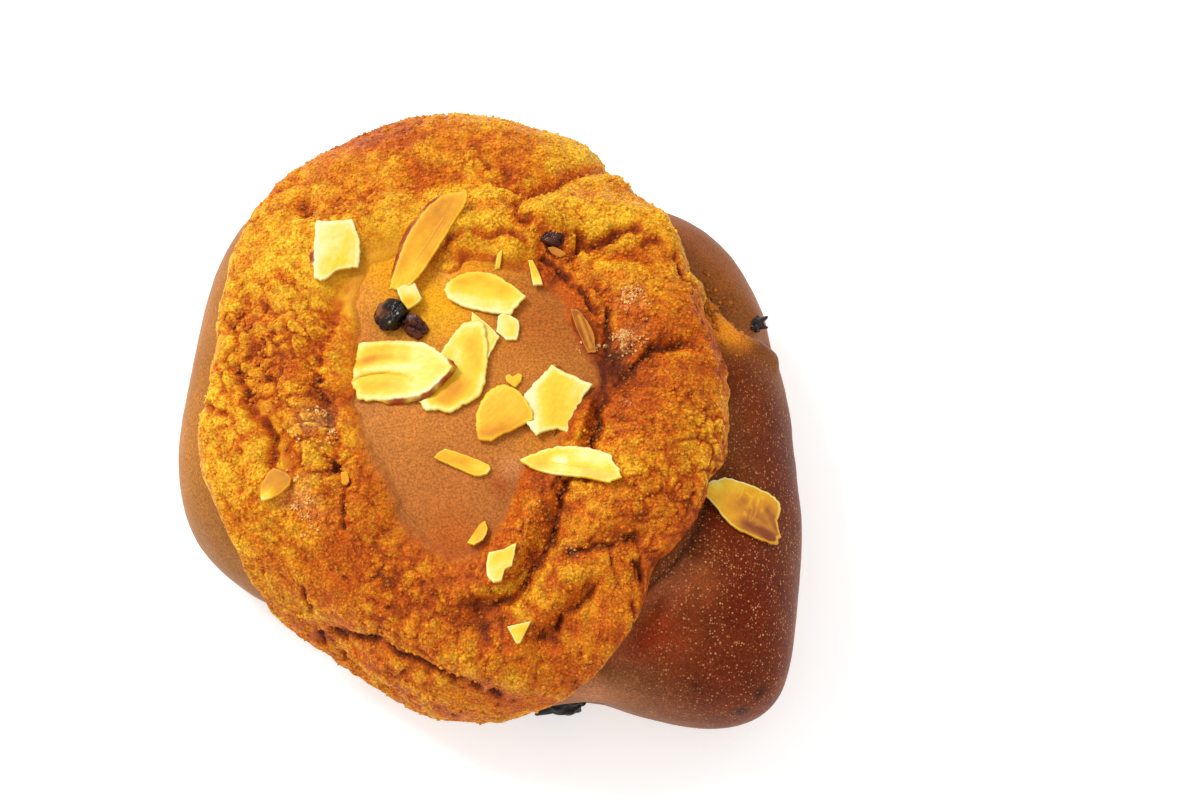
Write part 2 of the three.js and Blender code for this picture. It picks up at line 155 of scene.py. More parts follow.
def noise(points, cell, seed):
    """Smooth noise from -1 to 1: random values at the corners of cubic cells, blended between them."""
    place = points / cell
    corner = np.floor(place).astype(np.int64)
    share = place - corner
    share = share * share * (3 - 2 * share)
    total = 0
    for step in np.ndindex(2, 2, 2):
        weight = np.prod(np.where(step, share, 1 - share), axis=-1)
        total = total + weight * lattice_random(corner + np.array(step), seed)
    return 2 * total - 1


def ripples(points, waves, seed):
    """Sum of noises, one for each (height, cell) of the waves, with seeds one apart."""
    return sum(height * noise(points, cell, seed + number) for number, (height, cell) in enumerate(waves))


def make_surface(name, rows, attributes, closed=False):
    """Mesh from a grid of points whose columns run round the piece. Closed rows join the last row to
    the first, as round a tube; otherwise the end rows are drawn in to a pole at their mean."""
    count, columns = rows.shape[:2]
    index = np.arange(count * columns).reshape(count, columns)
    ends = np.vstack([index, index[:1]]) if closed else index
    beside = np.roll(ends, -1, axis=1)
    faces = np.stack([ends[:-1], beside[:-1], beside[1:], ends[1:]], -1).reshape(-1, 4).tolist()
    points = rows.reshape(-1, 3)
    if not closed:
        points = np.vstack([points, rows[0].mean(0), rows[-1].mean(0)])
        first, last = count * columns, count * columns + 1
        faces += np.stack([beside[0], index[0], np.full(columns, first)], -1).tolist()
        faces += np.stack([index[-1], beside[-1], np.full(columns, last)], -1).tolist()
    corners = np.array([face[:3] for face in faces])
    a, b, c = points[corners[:, 0]], points[corners[:, 1]], points[corners[:, 2]]
    if np.einsum("ij,ij->", a - points.mean(0), np.cross(b - a, c - a)) < 0:
        faces = [face[::-1] for face in faces]
    mesh = bpy.data.meshes.new(name)
    mesh.from_pydata((points / 1000).tolist(), [], faces)
    for key, values in attributes.items():
        values = np.asarray(values, np.float32)
        flat = values.reshape(count * columns, -1)
        if not closed:
            poles = [values[row].reshape(columns, -1).mean(0) for row in (0, -1)]
            flat = np.vstack([flat, *poles])
        if flat.shape[1] == 1:
            mesh.attributes.new(key, "FLOAT", "POINT").data.foreach_set("value", flat.ravel())
        else:
            flat = np.hstack([flat, np.ones((len(flat), 1), np.float32)])
            mesh.attributes.new(key, "FLOAT_COLOR", "POINT").data.foreach_set("color", flat.ravel())
    mesh.shade_smooth()
    piece = bpy.data.objects.new(name, mesh)
    bpy.context.scene.collection.objects.link(piece)
    return piece


def linear(colour):
    """sRGB hex colour as linear red, green and blue."""
    channels = np.array([int(colour[i:i + 2], 16) for i in (1, 3, 5)]) / 255
    return np.where(channels <= 0.04045, channels / 12.92, ((channels + 0.055) / 1.055) ** 2.4)


def mix(under, over, share):
    """Colour of each point: a share of the colour over, and the rest of the colour under."""
    return under * (1 - share[..., None]) + over * share[..., None]


def paint(points, ground, spots):
    """Colour of each point: the ground, then each spot (place, spread, colour, strength) mixed in over
    it by a bell curve of the distance to the place."""
    colour = np.broadcast_to(linear(ground), points.shape)
    for place, spread, hue, strength in spots:
        colour = mix(colour, linear(hue), strength * near(points, place, spread))
    return colour


def new_material(name):
    """Empty node material, and its tree."""
    material = bpy.data.materials.new(name)
    material.use_nodes = True
    material.node_tree.nodes.clear()
    return material, material.node_tree


def add_node(tree, kind, links=None, values=None, **settings):
    """Adds a node with its settings, the values of its sockets and the links into them."""
    node = tree.nodes.new(kind)
    for name, value in settings.items():
        setattr(node, name, value)
    for socket, value in (values or {}).items():
        node.inputs[socket].default_value = value
    for socket, source in (links or {}).items():
        tree.links.new(source, node.inputs[socket])
    return node


def remap(tree, source, low, high, to_low, to_high):
    """Output of a node that maps low to to_low and high to to_high, and holds the ends."""
    return add_node(tree, "ShaderNodeMapRange", {"Value": source},
                    {"From Min": low, "From Max": high, "To Min": to_low, "To Max": to_high}).outputs[0]


def combine(tree, operation, first, second, kind="ShaderNodeMath"):
    """Output of a node that works on two values, or on two vectors if its kind is vector math."""
    return add_node(tree, kind, {0: first, 1: second}, operation=operation).outputs[0]


def speckle(tree, coordinates, size, detail, roughness):
    """Output of a noise texture whose coarsest spots are a size in millimetres apart."""
    return add_node(tree, "ShaderNodeTexNoise", {"Vector": coordinates},
                    {"Scale": 1000 / size, "Detail": detail, "Roughness": roughness}).outputs["Fac"]


def stored(tree, name, output="Color"):
    """Output of a node that reads an attribute of the mesh."""
    return add_node(tree, "ShaderNodeAttribute", attribute_name=name).outputs[output]


def dress(piece, material, links, values):
    """Ends a material in a principled shader, and gives it to the piece if there is one yet."""
    tree = material.node_tree
    shader = add_node(tree, "ShaderNodeBsdfPrincipled", links, values)
    add_node(tree, "ShaderNodeOutputMaterial", {"Surface": shader.outputs["BSDF"]})
    if piece:
        piece.data.materials.append(material)


BREAD_FOLDS = [  # (path, half width, rise)
    (np.vstack([top((43, 21)), side((18, 33), (15, 20))]), 3.0, -2.6),
    (np.vstack([top((41, 17)), side((14, 34), (11, 27))]), 2.6, 1.3),  # ridge beside the fold
    (top((45, -18), (42.2, -26), (36.2, -38.4), (29.6, -45.8), (22, -53)), 2.2, -1.7),  # the hem bites in
    (top((42, -36), (35, -46), (27, -52.5)), 1.1, 0.5),  # and a fold stands up beside it
    (side((277, 7), (284, 6), (290, 8)), 5.0, -2.4),  # the foot draws in over the burnt raisin
]
BREAD_GROUND = "#8f5a30"
BREAD_SHADES = [  # (place, spread, colour, strength)
    ((-62, -5, 20), 24, "#b27124", 0.95), ((-48, -34, 20), 16, "#99622a", 0.9),
    ((-56, 30, 18), 30, "#ae6d2a", 0.8), ((0, 66, 15), 40, "#9c6028", 0.7),
    ((41, 36, 28), 20, "#8a4716", 0.95), ((52, 22, 22), 12, "#9e5b28", 0.8),
    ((56, -12, 28), 18, "#621d05", 0.95), ((48, -40, 32), 24, "#661e0a", 1.0),
    ((46, 3, 34), 8, "#6a2003", 0.95), ((50, -56, 20), 16, "#6d260c", 0.8),
    ((41, -53, 26), 8, "#651d0c", 0.7), ((30, -49, 35), 7, "#8e2c0e", 0.9),
    # The spot at (40, -40, 38) is a painted highlight, on the fold that stands up beside the hem.
    ((40, -40, 38), 4, "#9a4c26", 0.8), ((51, -4, 31), 6, "#6a2206", 0.7),
    ((10, -15, 45), 3, "#d08a30", 0.7), ((43.7, -28, 38), 5, "#701f04", 0.8),
    ((14.5, 18, 43.5), 4, "#aa5216", 0.7), ((18, 14, 43.7), 3.5, "#b2560e", 0.7),
    ((21, 5, 44), 4.5, "#96481a", 0.85), ((21.5, -4, 44), 4.5, "#90421a", 0.85),
    ((16, 7, 44), 2.5, "#bc5c26", 0.7), ((10.2, -14.4, 44.6), 4, "#d6883c", 0.7),
    ((20, -56, 20), 5, "#b4744a", 0.85), ((70, -31, 16), 6, "#3e1408", 0.5),
    ((0, 0, 45), 27, "#c57930", 1.0), ((-14, -8, 44), 13, "#c97b36", 0.9),
    ((-8, -26, 42), 11, "#be6d31", 0.9), ((10, 10, 45), 9, "#aa5a23", 0.8),
    ((-6, -34, 41), 6, "#b95a1e", 0.8), ((3, -23, 44), 2.2, "#a03c14", 0.7),
    ((12, -16, 44), 5, "#c77b26", 0.8), ((5, -20, 44), 2.5, "#cf8a58", 0.5),
    ((-9, 14, 45), 8.5, "#eca61c", 1.0), ((-20, 21, 43), 8.5, "#eaa118", 0.95),
    ((-2, 23, 44), 6, "#db8c1e", 0.9), ((7, 24, 43), 5, "#c77a22", 0.8),
    ((-27, 9, 43), 6, "#cf7826", 0.9), ((-25, 16, 43), 5, "#dc8c2e", 0.9),
    ((10, 21.5, 43.4), 3, "#e09a40", 0.5), ((-8, 20.5, 43.8), 2.5, "#f0a040", 0.6),
    # The spots at (42.5, 13, 37), (45.5, 12, 35.5) and (48, 11, 34) are the fold at the right: partly less
    # browned skin and partly a painted highlight. The one at (46, 20, 31) is painted shade in that fold's
    # crease.
    ((42.5, 13, 37), 3.6, "#e8841c", 0.9), ((45.5, 12, 35.5), 3, "#e8901f", 0.9),
    ((48, 11, 34), 2.5, "#dc801c", 0.8), ((46, 20, 31), 2.2, "#5c2a18", 0.8)]
# Painted light along the hem: a paler strip on the fold that stands up beside it, partly paler skin and
# partly a painted highlight, and painted shade under the hem itself.
BREAD_PAINTED_LIGHT_STROKES = [  # (path, half width, colour, strength)
    (top((38, -36.9), (36.1, -39.3), (33.9, -41.5), (31.5, -43.9), (29.1, -47.1), (26.5, -50.3),
         (23.6, -52.9)), 1.2, "#b0603a", 0.85),
    (top((42.2, -25.2), (41.1, -28.4), (39.7, -32.1), (37.5, -35.8), (35.2, -38.8), (30.6, -41.9),
         (28.4, -44.9), (26.2, -48.1)), 0.7, "#34160a", 0.85)]
BREAD_SCORCHES = [  # (place, spread) of the small burnt spots
    ((39, -58, 28), 1.5), ((52, -58, 24), 2.2), ((48, -60, 20), 1.8), ((47, 26, 28), 1.0),
    ((51, 11, 30), 1.2), ((58, 4, 24), 1.0), ((24, -55, 14), 1.0)]
SCORCH_COLOUR = "#1c100b"
SCORCH_STRENGTH = 0.9
SKIN_WAVES = [(0.3, 11), (0.1, 4.5), (0.035, 1.6)]  # (height, length)
MOTTLING = [(0.07, 9), (0.06, 2.6), (0.04, 1.1)]  # (share of the brightness, length)
SWOLLEN_CORNER = ((54, -30, 25), 43)  # (middle, reach) of what rose out from under the crust
CORNER_MOTTLING = [(0.1, 2.6), (0.08, 1.1)]  # the further mottling there

rings, bearings = BREAD_GRID
bearing, slope = np.meshgrid(np.arange(bearings) * 360 / bearings, np.linspace(0, 2, rings + 1)[1:])
form = dome(bearing, slope, 0)
on_skin = np.clip((2 - slope) * 6, 0, 1)  # the base stays flat
skin = relief(form, BREAD_FOLDS) + ripples(form, SKIN_WAVES, 1)
skin_points = dome(bearing, slope, skin * on_skin)

bread_colour = paint(form, BREAD_GROUND, BREAD_SHADES)
for path, width, hue, strength in BREAD_PAINTED_LIGHT_STROKES:
    away = from_path(form, path)[0] * (1 + 0.2 * noise(form, 2, 8))
    bread_colour = mix(bread_colour, linear(hue), strength * bell(away, width))
corner = near(form, *SWOLLEN_CORNER, 4)
mottle = 1 + ripples(form, MOTTLING, 4) + corner * ripples(form, CORNER_MOTTLING, 5)
bread_colour = bread_colour * mottle[..., None]
for place, spread in BREAD_SCORCHES:
    away = np.linalg.norm(form - np.array(place), axis=-1) * (1 + 0.3 * noise(form, 1.2, 7))
    bread_colour = mix(bread_colour, linear(SCORCH_COLOUR), SCORCH_STRENGTH * bell(away, spread, 4))

bread = make_surface("bread_bun", skin_points, {"bake": bread_colour, "blister": corner})

# Egg-washed bread skin: a smooth, browned starch film with a soft sheen and a fine grain. Where the
# dough swelled most, it is strewn with tiny, pale tan blisters, faint or bright, one in each cell of a
# pattern. The largest are almost half a millimetre across, and most are far smaller.
BLISTER_SPACING = 0.45
BLISTER_RADII = (0.05, 0.54)  # least and largest, in spacings
BLISTER_COLOUR = "#d89a60"
SKIN_GRAIN = 0.42
skin_material, tree = new_material("egg_washed_bread_skin")
coordinates = add_node(tree, "ShaderNodeTexCoord").outputs["Object"]
grain = speckle(tree, coordinates, SKIN_GRAIN, 2.0, 0.6)
cells = add_node(tree, "ShaderNodeTexVoronoi", {"Vector": coordinates},
                 {"Scale": 1000 / BLISTER_SPACING, "Randomness": 1.0})
chance = add_node(tree, "ShaderNodeSeparateColor", {"Color": cells.outputs["Color"]})
blister_radius = remap(tree, chance.outputs["Red"], 0.0, 1.0, *BLISTER_RADII)
within = combine(tree, "SUBTRACT", blister_radius, cells.outputs["Distance"])
dot = remap(tree, within, 0.0, 0.12, 0.0, 0.95)
faint = remap(tree, chance.outputs["Green"], 0.3, 1.0, 0.12, 1.0)
strewn = combine(tree, "MULTIPLY", faint, stored(tree, "blister", "Fac"))
dots = combine(tree, "MULTIPLY", dot, strewn)
grain_tone = remap(tree, grain, 0.34, 0.66, 0.7, 1.3)
toned = combine(tree, "MULTIPLY", stored(tree, "bake"), grain_tone, "ShaderNodeVectorMath")
dotted = add_node(tree, "ShaderNodeMix", {"Factor": dots, 6: toned}, {7: (*linear(BLISTER_COLOUR), 1)},
                  data_type="RGBA")
bump = add_node(tree, "ShaderNodeBump", {"Height": combine(tree, "ADD", dots, grain)},
                {"Strength": 0.35, "Distance": 0.00008})
dress(bread, skin_material, {"Base Color": dotted.outputs[2], "Normal": bump.outputs["Normal"]},
      {"Roughness": 0.42, "Specular IOR Level": 0.05})

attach(bread, "root")
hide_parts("bread")

# ------------------------------------------------------------------------------------------------
# Cookie dough crust
# A disc of stiff sugar cookie dough, laid over the bun before it rose. Rising tore its middle open
# and cracked the rest into puffy, sandy plates; its hem hangs lowest at the front, as a folded lip.
# ------------------------------------------------------------------------------------------------

WINDOW_RADIUS = 25.0  # the opening in the crust, where the bread shows
HEM_HEIGHT = 33.0  # height of the crust's outer edge
CRUST_THICKNESS = 4.2
CRUST_EASE = 1.0  # where the crust would be thinner than this, its troughs level off
HEM_TAPER = 7.0  # the crust thins over this width towards the hem
HEM_ROUNDING = 1.5  # and is rounded off over this width at the hem itself
UNDERSIDE = 0.3  # above the bread
WINDOW_LOBES = np.array([  # all lobes are [bearing, millimetres more, spread in degrees]
    [258, 9.5, 22], [132, 5.5, 24], [35, -7, 24], [330, -8.8, 25], [292, -5.4, 14], [85, -3, 20],
    [110, -6.5, 10], [172, -1.5, 16], [10, -4.2, 18], [62, -2.6, 13]])
WINDOW_RAGS = [(0.9, 5), (0.5, 2)]  # (depth, length) of the torn notches
WINDOW_TAPER = 9.0  # the crust thins over this width towards the window
WINDOW_TAPER_LOBES = np.array([[88, -6, 22], [160, -2, 20]])  # a torn step at the far side
WINDOW_BLEND = 3.5  # over this width its colour runs into the bread's
WINDOW_BLEND_LOBES = np.array([
    [195, -2.0, 22], [140, 2.5, 24], [85, -1.5, 25], [320, -2.0, 40], [108, -2.2, 13], [162, -2.8, 18],
    [35, -2.4, 32]])
HEM_LOBES = np.array([
    [90, -24, 34], [45, 6.5, 46], [231, -13, 14], [261, -27, 31], [288, -1.4, 7], [307, 1.5, 12],
    [308, 8, 42]])
HEM_RAGS = [(0.8, 6), (0.3, 2)]
HEM_STRAIGHT = (322, 26, 0.75)  # (bearing, spread, share of the rags lost) over the bread's corner
RAG_RADIUS = 40  # radius of the circle on which the rags of both edges are drawn
HEM_TAPER_LOBES = np.array([[310, -4, 45], [232, -4, 30]])  # a blunt hem at the corner and the lip
CRUST_GRID = (140, 10, 640)  # steps over the top and along the underside, and points round each

CRUST_FORMS = [  # (path, half width, rise): the troughs, puffs and folds of the dough
    (top((-24, 19), (-28, 12), (-30, 4), (-30, -4), (-27, -13), (-26, -23)), 3.5, -2.4),
    (top((-42, 3), (-39, -10), (-34, -18)), 3.0, -1.6),
    (top((-32, -4), (-31, -15), (-28, -24)), 3.0, 1.4),
    (top((-48, 12), (-50, -2), (-46, -16), (-42, -26)), 6.0, 1.2),
    (top((-26, 15), (-18, 24)), 4.0, -2.4),
    (top((11, 22), (17, 18), (22, 11), (23, 0), (21, -10), (17, -20), (12, -32), (6, -42), (0, -45)),
     3.4, -3.0),
    (top((30, 14), (32, 2), (31, -10), (27, -22), (22, -29)), 7.0, 1.6),
    (top((24, -1), (27, -2), (30, 3), (35, 5)), 2.4, -1.6),
    (top((15, -35), (20, -33), (26, -32)), 2.2, -1.6),
    (top((19, -41), (14, -45), (11, -48)), 3.0, -2.0),
    (top((16, -37), (12, -42)), 3.0, 1.2),
    (top((24, -43), (18, -49)), 4.0, 1.4),
    (top((28, -37), (28, -42)), 3.0, -1.4),
    (top((5, 33), (10, 37), (16, 43), (24, 47)), 2.4, -2.2),
    (top((10, 30), (18, 31), (27, 30), (33, 28)), 5.0, 2.6),
    (top((6, 28), (12, 24), (20, 23), (28, 22)), 2.2, -1.8),
    (top((-12, 39), (2, 39), (8, 37)), 3.5, -1.8),
    (top((-25, 45), (-5, 50), (15, 49)), 6.0, 1.0),
    (top((-12, -38), (-3, -43)), 6.0, -1.6),
    (top((-18, -47), (-4, -51), (10, -52)), 5.0, 1.4),
    (top((-25, -45), (-27, -48), (-22, -51), (-18, -52)), 2.2, -2.4),
    (side((236, 21), (248, 27), (262, 28), (272, 26)), 4.5, -1.8),  # under the folded lip
    (side((242, 15), (256, 16)), 6.0, 1.2),
    (top((-35, 35), (-33, 33)), 2.5, -1.3),
    (top((-43, 16), (-46, 10)), 2.2, -1.2),
    (top((-10, 22.5), (-5, 22.5), (0, 23.5)), 3.0, -2.6),  # thin where it tore last
    (top((8.6, 27.4), (11.6, 26.2), (14.8, 24.6)), 1.3, 2.5),  # the flap covers part of a raisin
    (top((19.2, -4.3), (17.8, -8.9), (16.4, -13.2)), 1.2, 5.0),  # and this the edge of an almond slice
]
CRUST_CRACKS = [  # (path, half width, depth, lift of the lip on its left)
    (top((-24, 19), (-27, 16), (-28, 12), (-30, 4), (-30, -4), (-27, -13), (-27, -19)), 1.0, 0.9, 0.3),
    (top((-27, -18), (-27, -19.5)), 1.2, 2.0, 0.0),
    (top((-25, -22), (-24, -26), (-24, -28)), 0.8, 1.6, 0.4),
    (top((-36, -20), (-38, -13), (-41, -8), (-44, 2)), 1.0, 1.2, 0.9),
    (top((-51, -3), (-48, -6), (-45, -7)), 1.3, 1.6, 0.2),
    (top((-35, 35), (-33, 33)), 1.2, 0.8, 0.0),
    (top((-43, 16), (-46, 10)), 1.0, 0.9, 0.0),
    (top((-41, 5), (-42, 4)), 1.0, 1.2, 0.0),
    (top((-32, -36), (-31, -38), (-30, -41)), 0.8, 1.5, 0.2),
    (top((-25, -46), (-26, -49), (-22, -51), (-19, -52)), 1.0, 1.6, 0.4),
    (top((22, 11), (22, -1), (21, -10), (19, -17), (15, -22), (13, -30), (12, -34), (10, -38), (7, -42),
         (2, -44)), 0.9, 1.3, 0.9),
    (top((15, -35), (20, -33), (23, -34), (26, -32)), 0.6, 1.3, 0.5),
    (top((25, -35), (28, -38), (28, -41)), 0.6, 1.3, 0.4),
    (top((19, -41), (17, -43), (14, -45), (12, -48), (9, -48)), 0.65, 1.4, 0.6),
    (top((25, -42), (27, -47)), 0.8, 1.2, 0.0),
    (top((19, -52), (23, -52)), 0.7, 1.0, 0.2),
    (top((29, 24), (25, 27), (21, 25), (17, 25), (12, 25), (8, 28), (5, 30), (5, 34)), 0.9, 1.2, -0.7),
    (top((5, 34), (10, 36), (16, 42), (23, 44)), 0.9, 1.0, -0.4),
    (top((10.7, 22.5), (14, 19.5), (17, 16), (20, 11)), 0.8, 1.9, 0.9),
    (top((2, 38), (5, 37)), 1.2, 1.0, 0.0),
    (top((-8, 24.4), (-5.7, 26), (-3.5, 26.9), (0.8, 26), (4.6, 25.6), (7.6, 23.7)), 0.8, 1.2, 0.6),
    (top((13, 51), (18, 50)), 1.2, 1.0, 0.0),
    (top((24, -3), (27, -1), (29, 4), (35, 5)), 0.9, 1.1, 0.4),
    (top((33, 22), (35, 18), (37, 17)), 0.9, 1.3, 0.3),
    (top((16, 24), (17.3, 24.9), (18.8, 24)), 1.1, 1.9, 0.0),
    (top((19.8, 24.8), (21.3, 25.8), (22.8, 25)), 1.1, 1.9, 0.0),
    (side((236, 21), (248, 27), (262, 28), (272, 26)), 1.2, 1.8, 0.4),
]
CRUST_BAKE = [  # ((x, y, z), from 0, pale and sandy, to 1, deep red brown)
    ((-49, 1, 38), 0.32), ((-39, 7, 42), 0.9), ((-44, -16, 40), 0.26), ((-28, 2, 45), 0.62),
    ((-14, 51, 37), 0.84), ((2, 44, 39), 0.76), ((23, 33, 42), 0.42), ((29, 15, 44), 0.5),
    ((38, -10, 43), 0.5), ((31, -20, 45), 0.45), ((21, -14, 44), 0.56), ((11, -37, 40), 0.58),
    ((-8, -44, 38), 0.78), ((-29, -40, 34), 0.7), ((20, -48, 38), 0.7), ((-9, -57, 20), 0.55),
    ((-28, -16, 44), 0.55), ((-42, -33, 32), 0.5), ((-37, 40, 37), 0.42), ((15, 52, 32), 0.3),
    ((-37, -11, 42), 0.56), ((-21, 40, 41), 0.58), ((-4, 36, 42), 0.22), ((-12, -51, 32), 0.56),
    ((21, 8, 46), 0.76), ((-21, -32, 39), 0.76), ((31, -34, 44), 0.82), ((0, 66, 20), 0.4),
    ((-60, 20, 20), 0.4), ((-48, 18, 38), 0.3), ((-31, 17, 43), 0.08), ((33, 4, 43), 0.86),
    ((-2, 55, 32), 0.2), ((-2, -46, 38), 0.62)]
BAKE_REACH = 9  # of each of these places
BAKE_ELSEWHERE = 0.4
ELSEWHERE_WEIGHT = 1e-3
CRUST_ACCENTS = [  # (place, spread, further bake) of small places
    # The accents at (23.5, -4.5), (23, 2) and (19, -9) are painted shade, in the crevice where the square
    # almond slice slides under the crust.
    ((23.5, -4.5, 45), 6.5, 0.4), ((23, 2, 45), 4.0, 0.2), ((-28, -15, 42), 3.0, -0.22),
    ((19, -9, 45), 4.0, 0.25), ((11, -21, 44), 5.0, 0.3), ((12, -28, 43), 3.0, 0.25),
    ((2, 25, 44), 4.5, 0.15), ((-5, 21.5, 44), 5.0, 0.2), ((-2.5, 30, 46), 3.5, 0.3),
    ((13, 21, 44), 3.0, 0.3), ((-46.6, 4.7, 40), 1.8, 0.35), ((-53.4, -2, 34), 2.2, 0.4),
    ((-42.7, -11.5, 41), 1.8, 0.35), ((-44.7, 17, 40), 1.5, 0.35), ((-48, 11, 38), 1.5, 0.35),
    ((22, 8, 45), 2.5, -0.15), ((-29, 32, 43), 3.0, 0.25), ((-27.5, 11.5, 44), 2.5, 0.35),
    ((-30, 8, 44), 3.0, 0.15)]
CRUST_TONES = [  # (bake, colour)
    (0.0, "#f4be2e"), (0.3, "#e6a622"), (0.55, "#d27c14"), (0.75, "#c25b10"), (0.95, "#a0440f"),
    (1.3, "#63270d")]
TONE_WAVES = [(0.16, 6), (0.12, 2.6), (0.08, 1.2)]  # (bake, length) of its unevenness
SANDY_PLACES = [  # (place, spread) of the sugar baked onto the crust
    ((-30.7, -10.8, 44), 3.2), ((-32, -24.7, 41), 4.0), ((24.5, 5.5, 45), 2.6),
    ((26, 13.5, 45), 2.6), ((17, 3.5, 46), 1.5), ((32, 17, 43), 1.2), ((24.7, -7.5, 45), 1.2),
    ((33, -11, 44), 1.2), ((15.5, -34, 43), 1.6), ((9.2, -24.6, 44), 1.0), ((-14.5, -35.5, 41), 1.4)]
MELTED_SUGAR = "#e9bd7c"
SMOOTH_TROUGHS = [  # (path, half width, share of the crumbliness lost)
    (top((-26, 15), (-18, 24)), 5, 1.0), (top((-39, -8), (-35, -17)), 2.5, 0.6)]
LUMPS = [(0.4, 9), (0.3, 4.2), (0.2, 2.1)]  # (height, length)
CLODS_ANYWHERE = 0.45  # most that the clods rise, as a share, away from these places
CLODDED_PLACES = [((-37, -4, 42), 15, 0.75), ((33, -24, 42), 17, 0.5)]  # (place, reach, share)


def smoothstep(value, low, high):
    """0 below low, 1 above high, and a smooth S between."""
    share = np.clip((value - low) / (high - low), 0, 1)
    return share * share * (3 - 2 * share)


def grains(points, cell, seed):
    """Distances to the nearest and the second nearest of random centres, one in each cubic cell."""
    place = points / cell
    corner = np.floor(place).astype(np.int64)
    nearest = np.full(points.shape[:-1], 9.0)
    second = nearest.copy()
    for step in np.ndindex(3, 3, 3):
        home = corner + np.array(step) - 1
        centre = home + np.stack([lattice_random(home, seed + axis) for axis in range(3)], -1)
        distance = np.linalg.norm(place - centre, axis=-1)
        second = np.minimum(second, np.maximum(distance, nearest))
        nearest = np.minimum(nearest, distance)
    return nearest, second


def jitter(points, cell, seed):
    """Three noises at each point, as a vector."""
    return np.stack([noise(points, cell, seed + axis) for axis in range(3)], -1)


def tone_colours(tone, tones):
    """Colour of each tone, mixed from the two nearest of the (tone, colour) stops."""
    stops = np.array([at for at, _ in tones])
    shades = np.array([linear(colour) for _, colour in tones])
    return np.stack([np.interp(tone, stops, shades[:, channel]) for channel in range(3)], -1)


def blur(field, steps):
    """Mean of a closed grid over a square of steps either way, taken along each axis in turn."""
    for axis in (0, 1):
        field = sum(np.roll(field, step, axis) for step in range(-steps, steps + 1)) / (2 * steps + 1)
    return field


steps_over, steps_under, bearings = CRUST_GRID
ring = np.arange(bearings) * 360 / bearings
turn = np.radians(ring)
outline = RAG_RADIUS * np.stack([np.cos(turn), np.sin(turn), 0 * turn], -1)
straight_at, straight_spread, straight_share = HEM_STRAIGHT
raggedness = 1 - straight_share * bell(ring - straight_at, straight_spread)
window_edge = swell(WINDOW_RADIUS, WINDOW_LOBES, ring) + ripples(outline, WINDOW_RAGS, 11)
hem_edge = swell(HEM_HEIGHT, HEM_LOBES, ring) + raggedness * ripples(outline, HEM_RAGS, 13)
inner = slope_at_radius(ring, window_edge)
outer = slope_at_height(hem_edge)
over = np.linspace(0, 1, steps_over + 1)
over = over - 0.35 * np.sin(2 * np.pi * over) / (2 * np.pi)  # finer towards both edges
under = np.linspace(1, 0, steps_under + 2)[1:-1]
across = np.concatenate([over, under])[:, None]
on_top = np.concatenate([np.ones(steps_over + 1), np.zeros(steps_under)])[:, None]
bearing = np.broadcast_to(ring, (len(across), bearings))
slope = inner + (outer - inner) * across
form = dome(bearing, slope, 0)

from_window = np.linalg.norm(form - dome(ring, inner, 0), axis=-1)
from_hem = np.linalg.norm(form - dome(ring, outer, 0), axis=-1)
window_taper = smoothstep(from_window, 0, swell(WINDOW_TAPER, WINDOW_TAPER_LOBES, ring))
hem_round = np.sqrt(1 - (1 - np.clip(from_hem / HEM_ROUNDING, 0, 1)) ** 2)
hem_taper = 0.1 + 0.3 * hem_round
hem_taper = hem_taper + 0.6 * smoothstep(from_hem, 0, swell(HEM_TAPER, HEM_TAPER_LOBES, ring))

warp = 0.9 * jitter(form, 3, 21) + 0.4 * jitter(form, 1.2, 24)
body = (CRUST_THICKNESS + relief(form, CRUST_FORMS)) * window_taper * hem_taper
cracks = 0
crack_depth = 0
for path, width, depth, lip in CRUST_CRACKS:
    distance, left = from_path(form + warp, path)
    raised = lip * bell(distance, 4 * width) * smoothstep(left * np.sign(lip or 1), -0.3, 0.8)
    furrow = 0.8 * depth * bell(distance, 0.7 * width)
    cracks = cracks + np.abs(raised) - furrow
    crack_depth = crack_depth + furrow

sandy = np.clip(1 - relief(form, SMOOTH_TROUGHS), 0, 1) * (0.35 + 0.65 * smoothstep(from_window, 0, 4))
lump, _ = grains(form + warp, 2.3, 41)
fine_lump, _ = grains(form, 1.15, 51)
plate, next_plate = grains(form + 1.5 * warp, 7.5, 61)
crazing = smoothstep(0.12 - (next_plate - plate), 0, 0.12) * smoothstep(noise(form, 7, 63), 0.2, 0.6)
pit, _ = grains(form + warp, 3.0, 71)
pits = smoothstep(0.24 - pit, 0, 0.16)
clod, next_clod = grains(form + 2.0 * warp, 4.6, 91)
crevices = smoothstep(0.2 - (next_clod - clod), 0, 0.2)
clodded = CLODS_ANYWHERE * smoothstep(noise(form, 14, 93), -0.25, 0.3)
clodded = clodded + sum(share * near(form, place, reach) for place, reach, share in CLODDED_PLACES)
clods = (1.1 * (0.5 - clod) - 0.6 * crevices) * clodded
crumbly = clods + 0.22 * (0.55 - lump) + 0.3 * (0.5 - fine_lump) - 0.4 * crazing - 0.35 * pits
texture = ripples(form, LUMPS, 31) + crumbly * sandy
thickness = body + (cracks + texture) * np.clip(window_taper * 1.2, 0, 1) * (0.25 + 0.75 * hem_round)
eased = CRUST_EASE * np.exp(thickness / CRUST_EASE - 1)
thickness = np.where(thickness < CRUST_EASE, eased, thickness)
thickness = thickness * (0.12 + 0.88 * smoothstep(from_window, 0, 2.5))
sunk = 0.55 * (1 - smoothstep(from_window, 0, 1.5))  # the thin inner rim is baked into the bread
crust_points = dome(bearing, slope, UNDERSIDE + thickness * on_top - sunk)

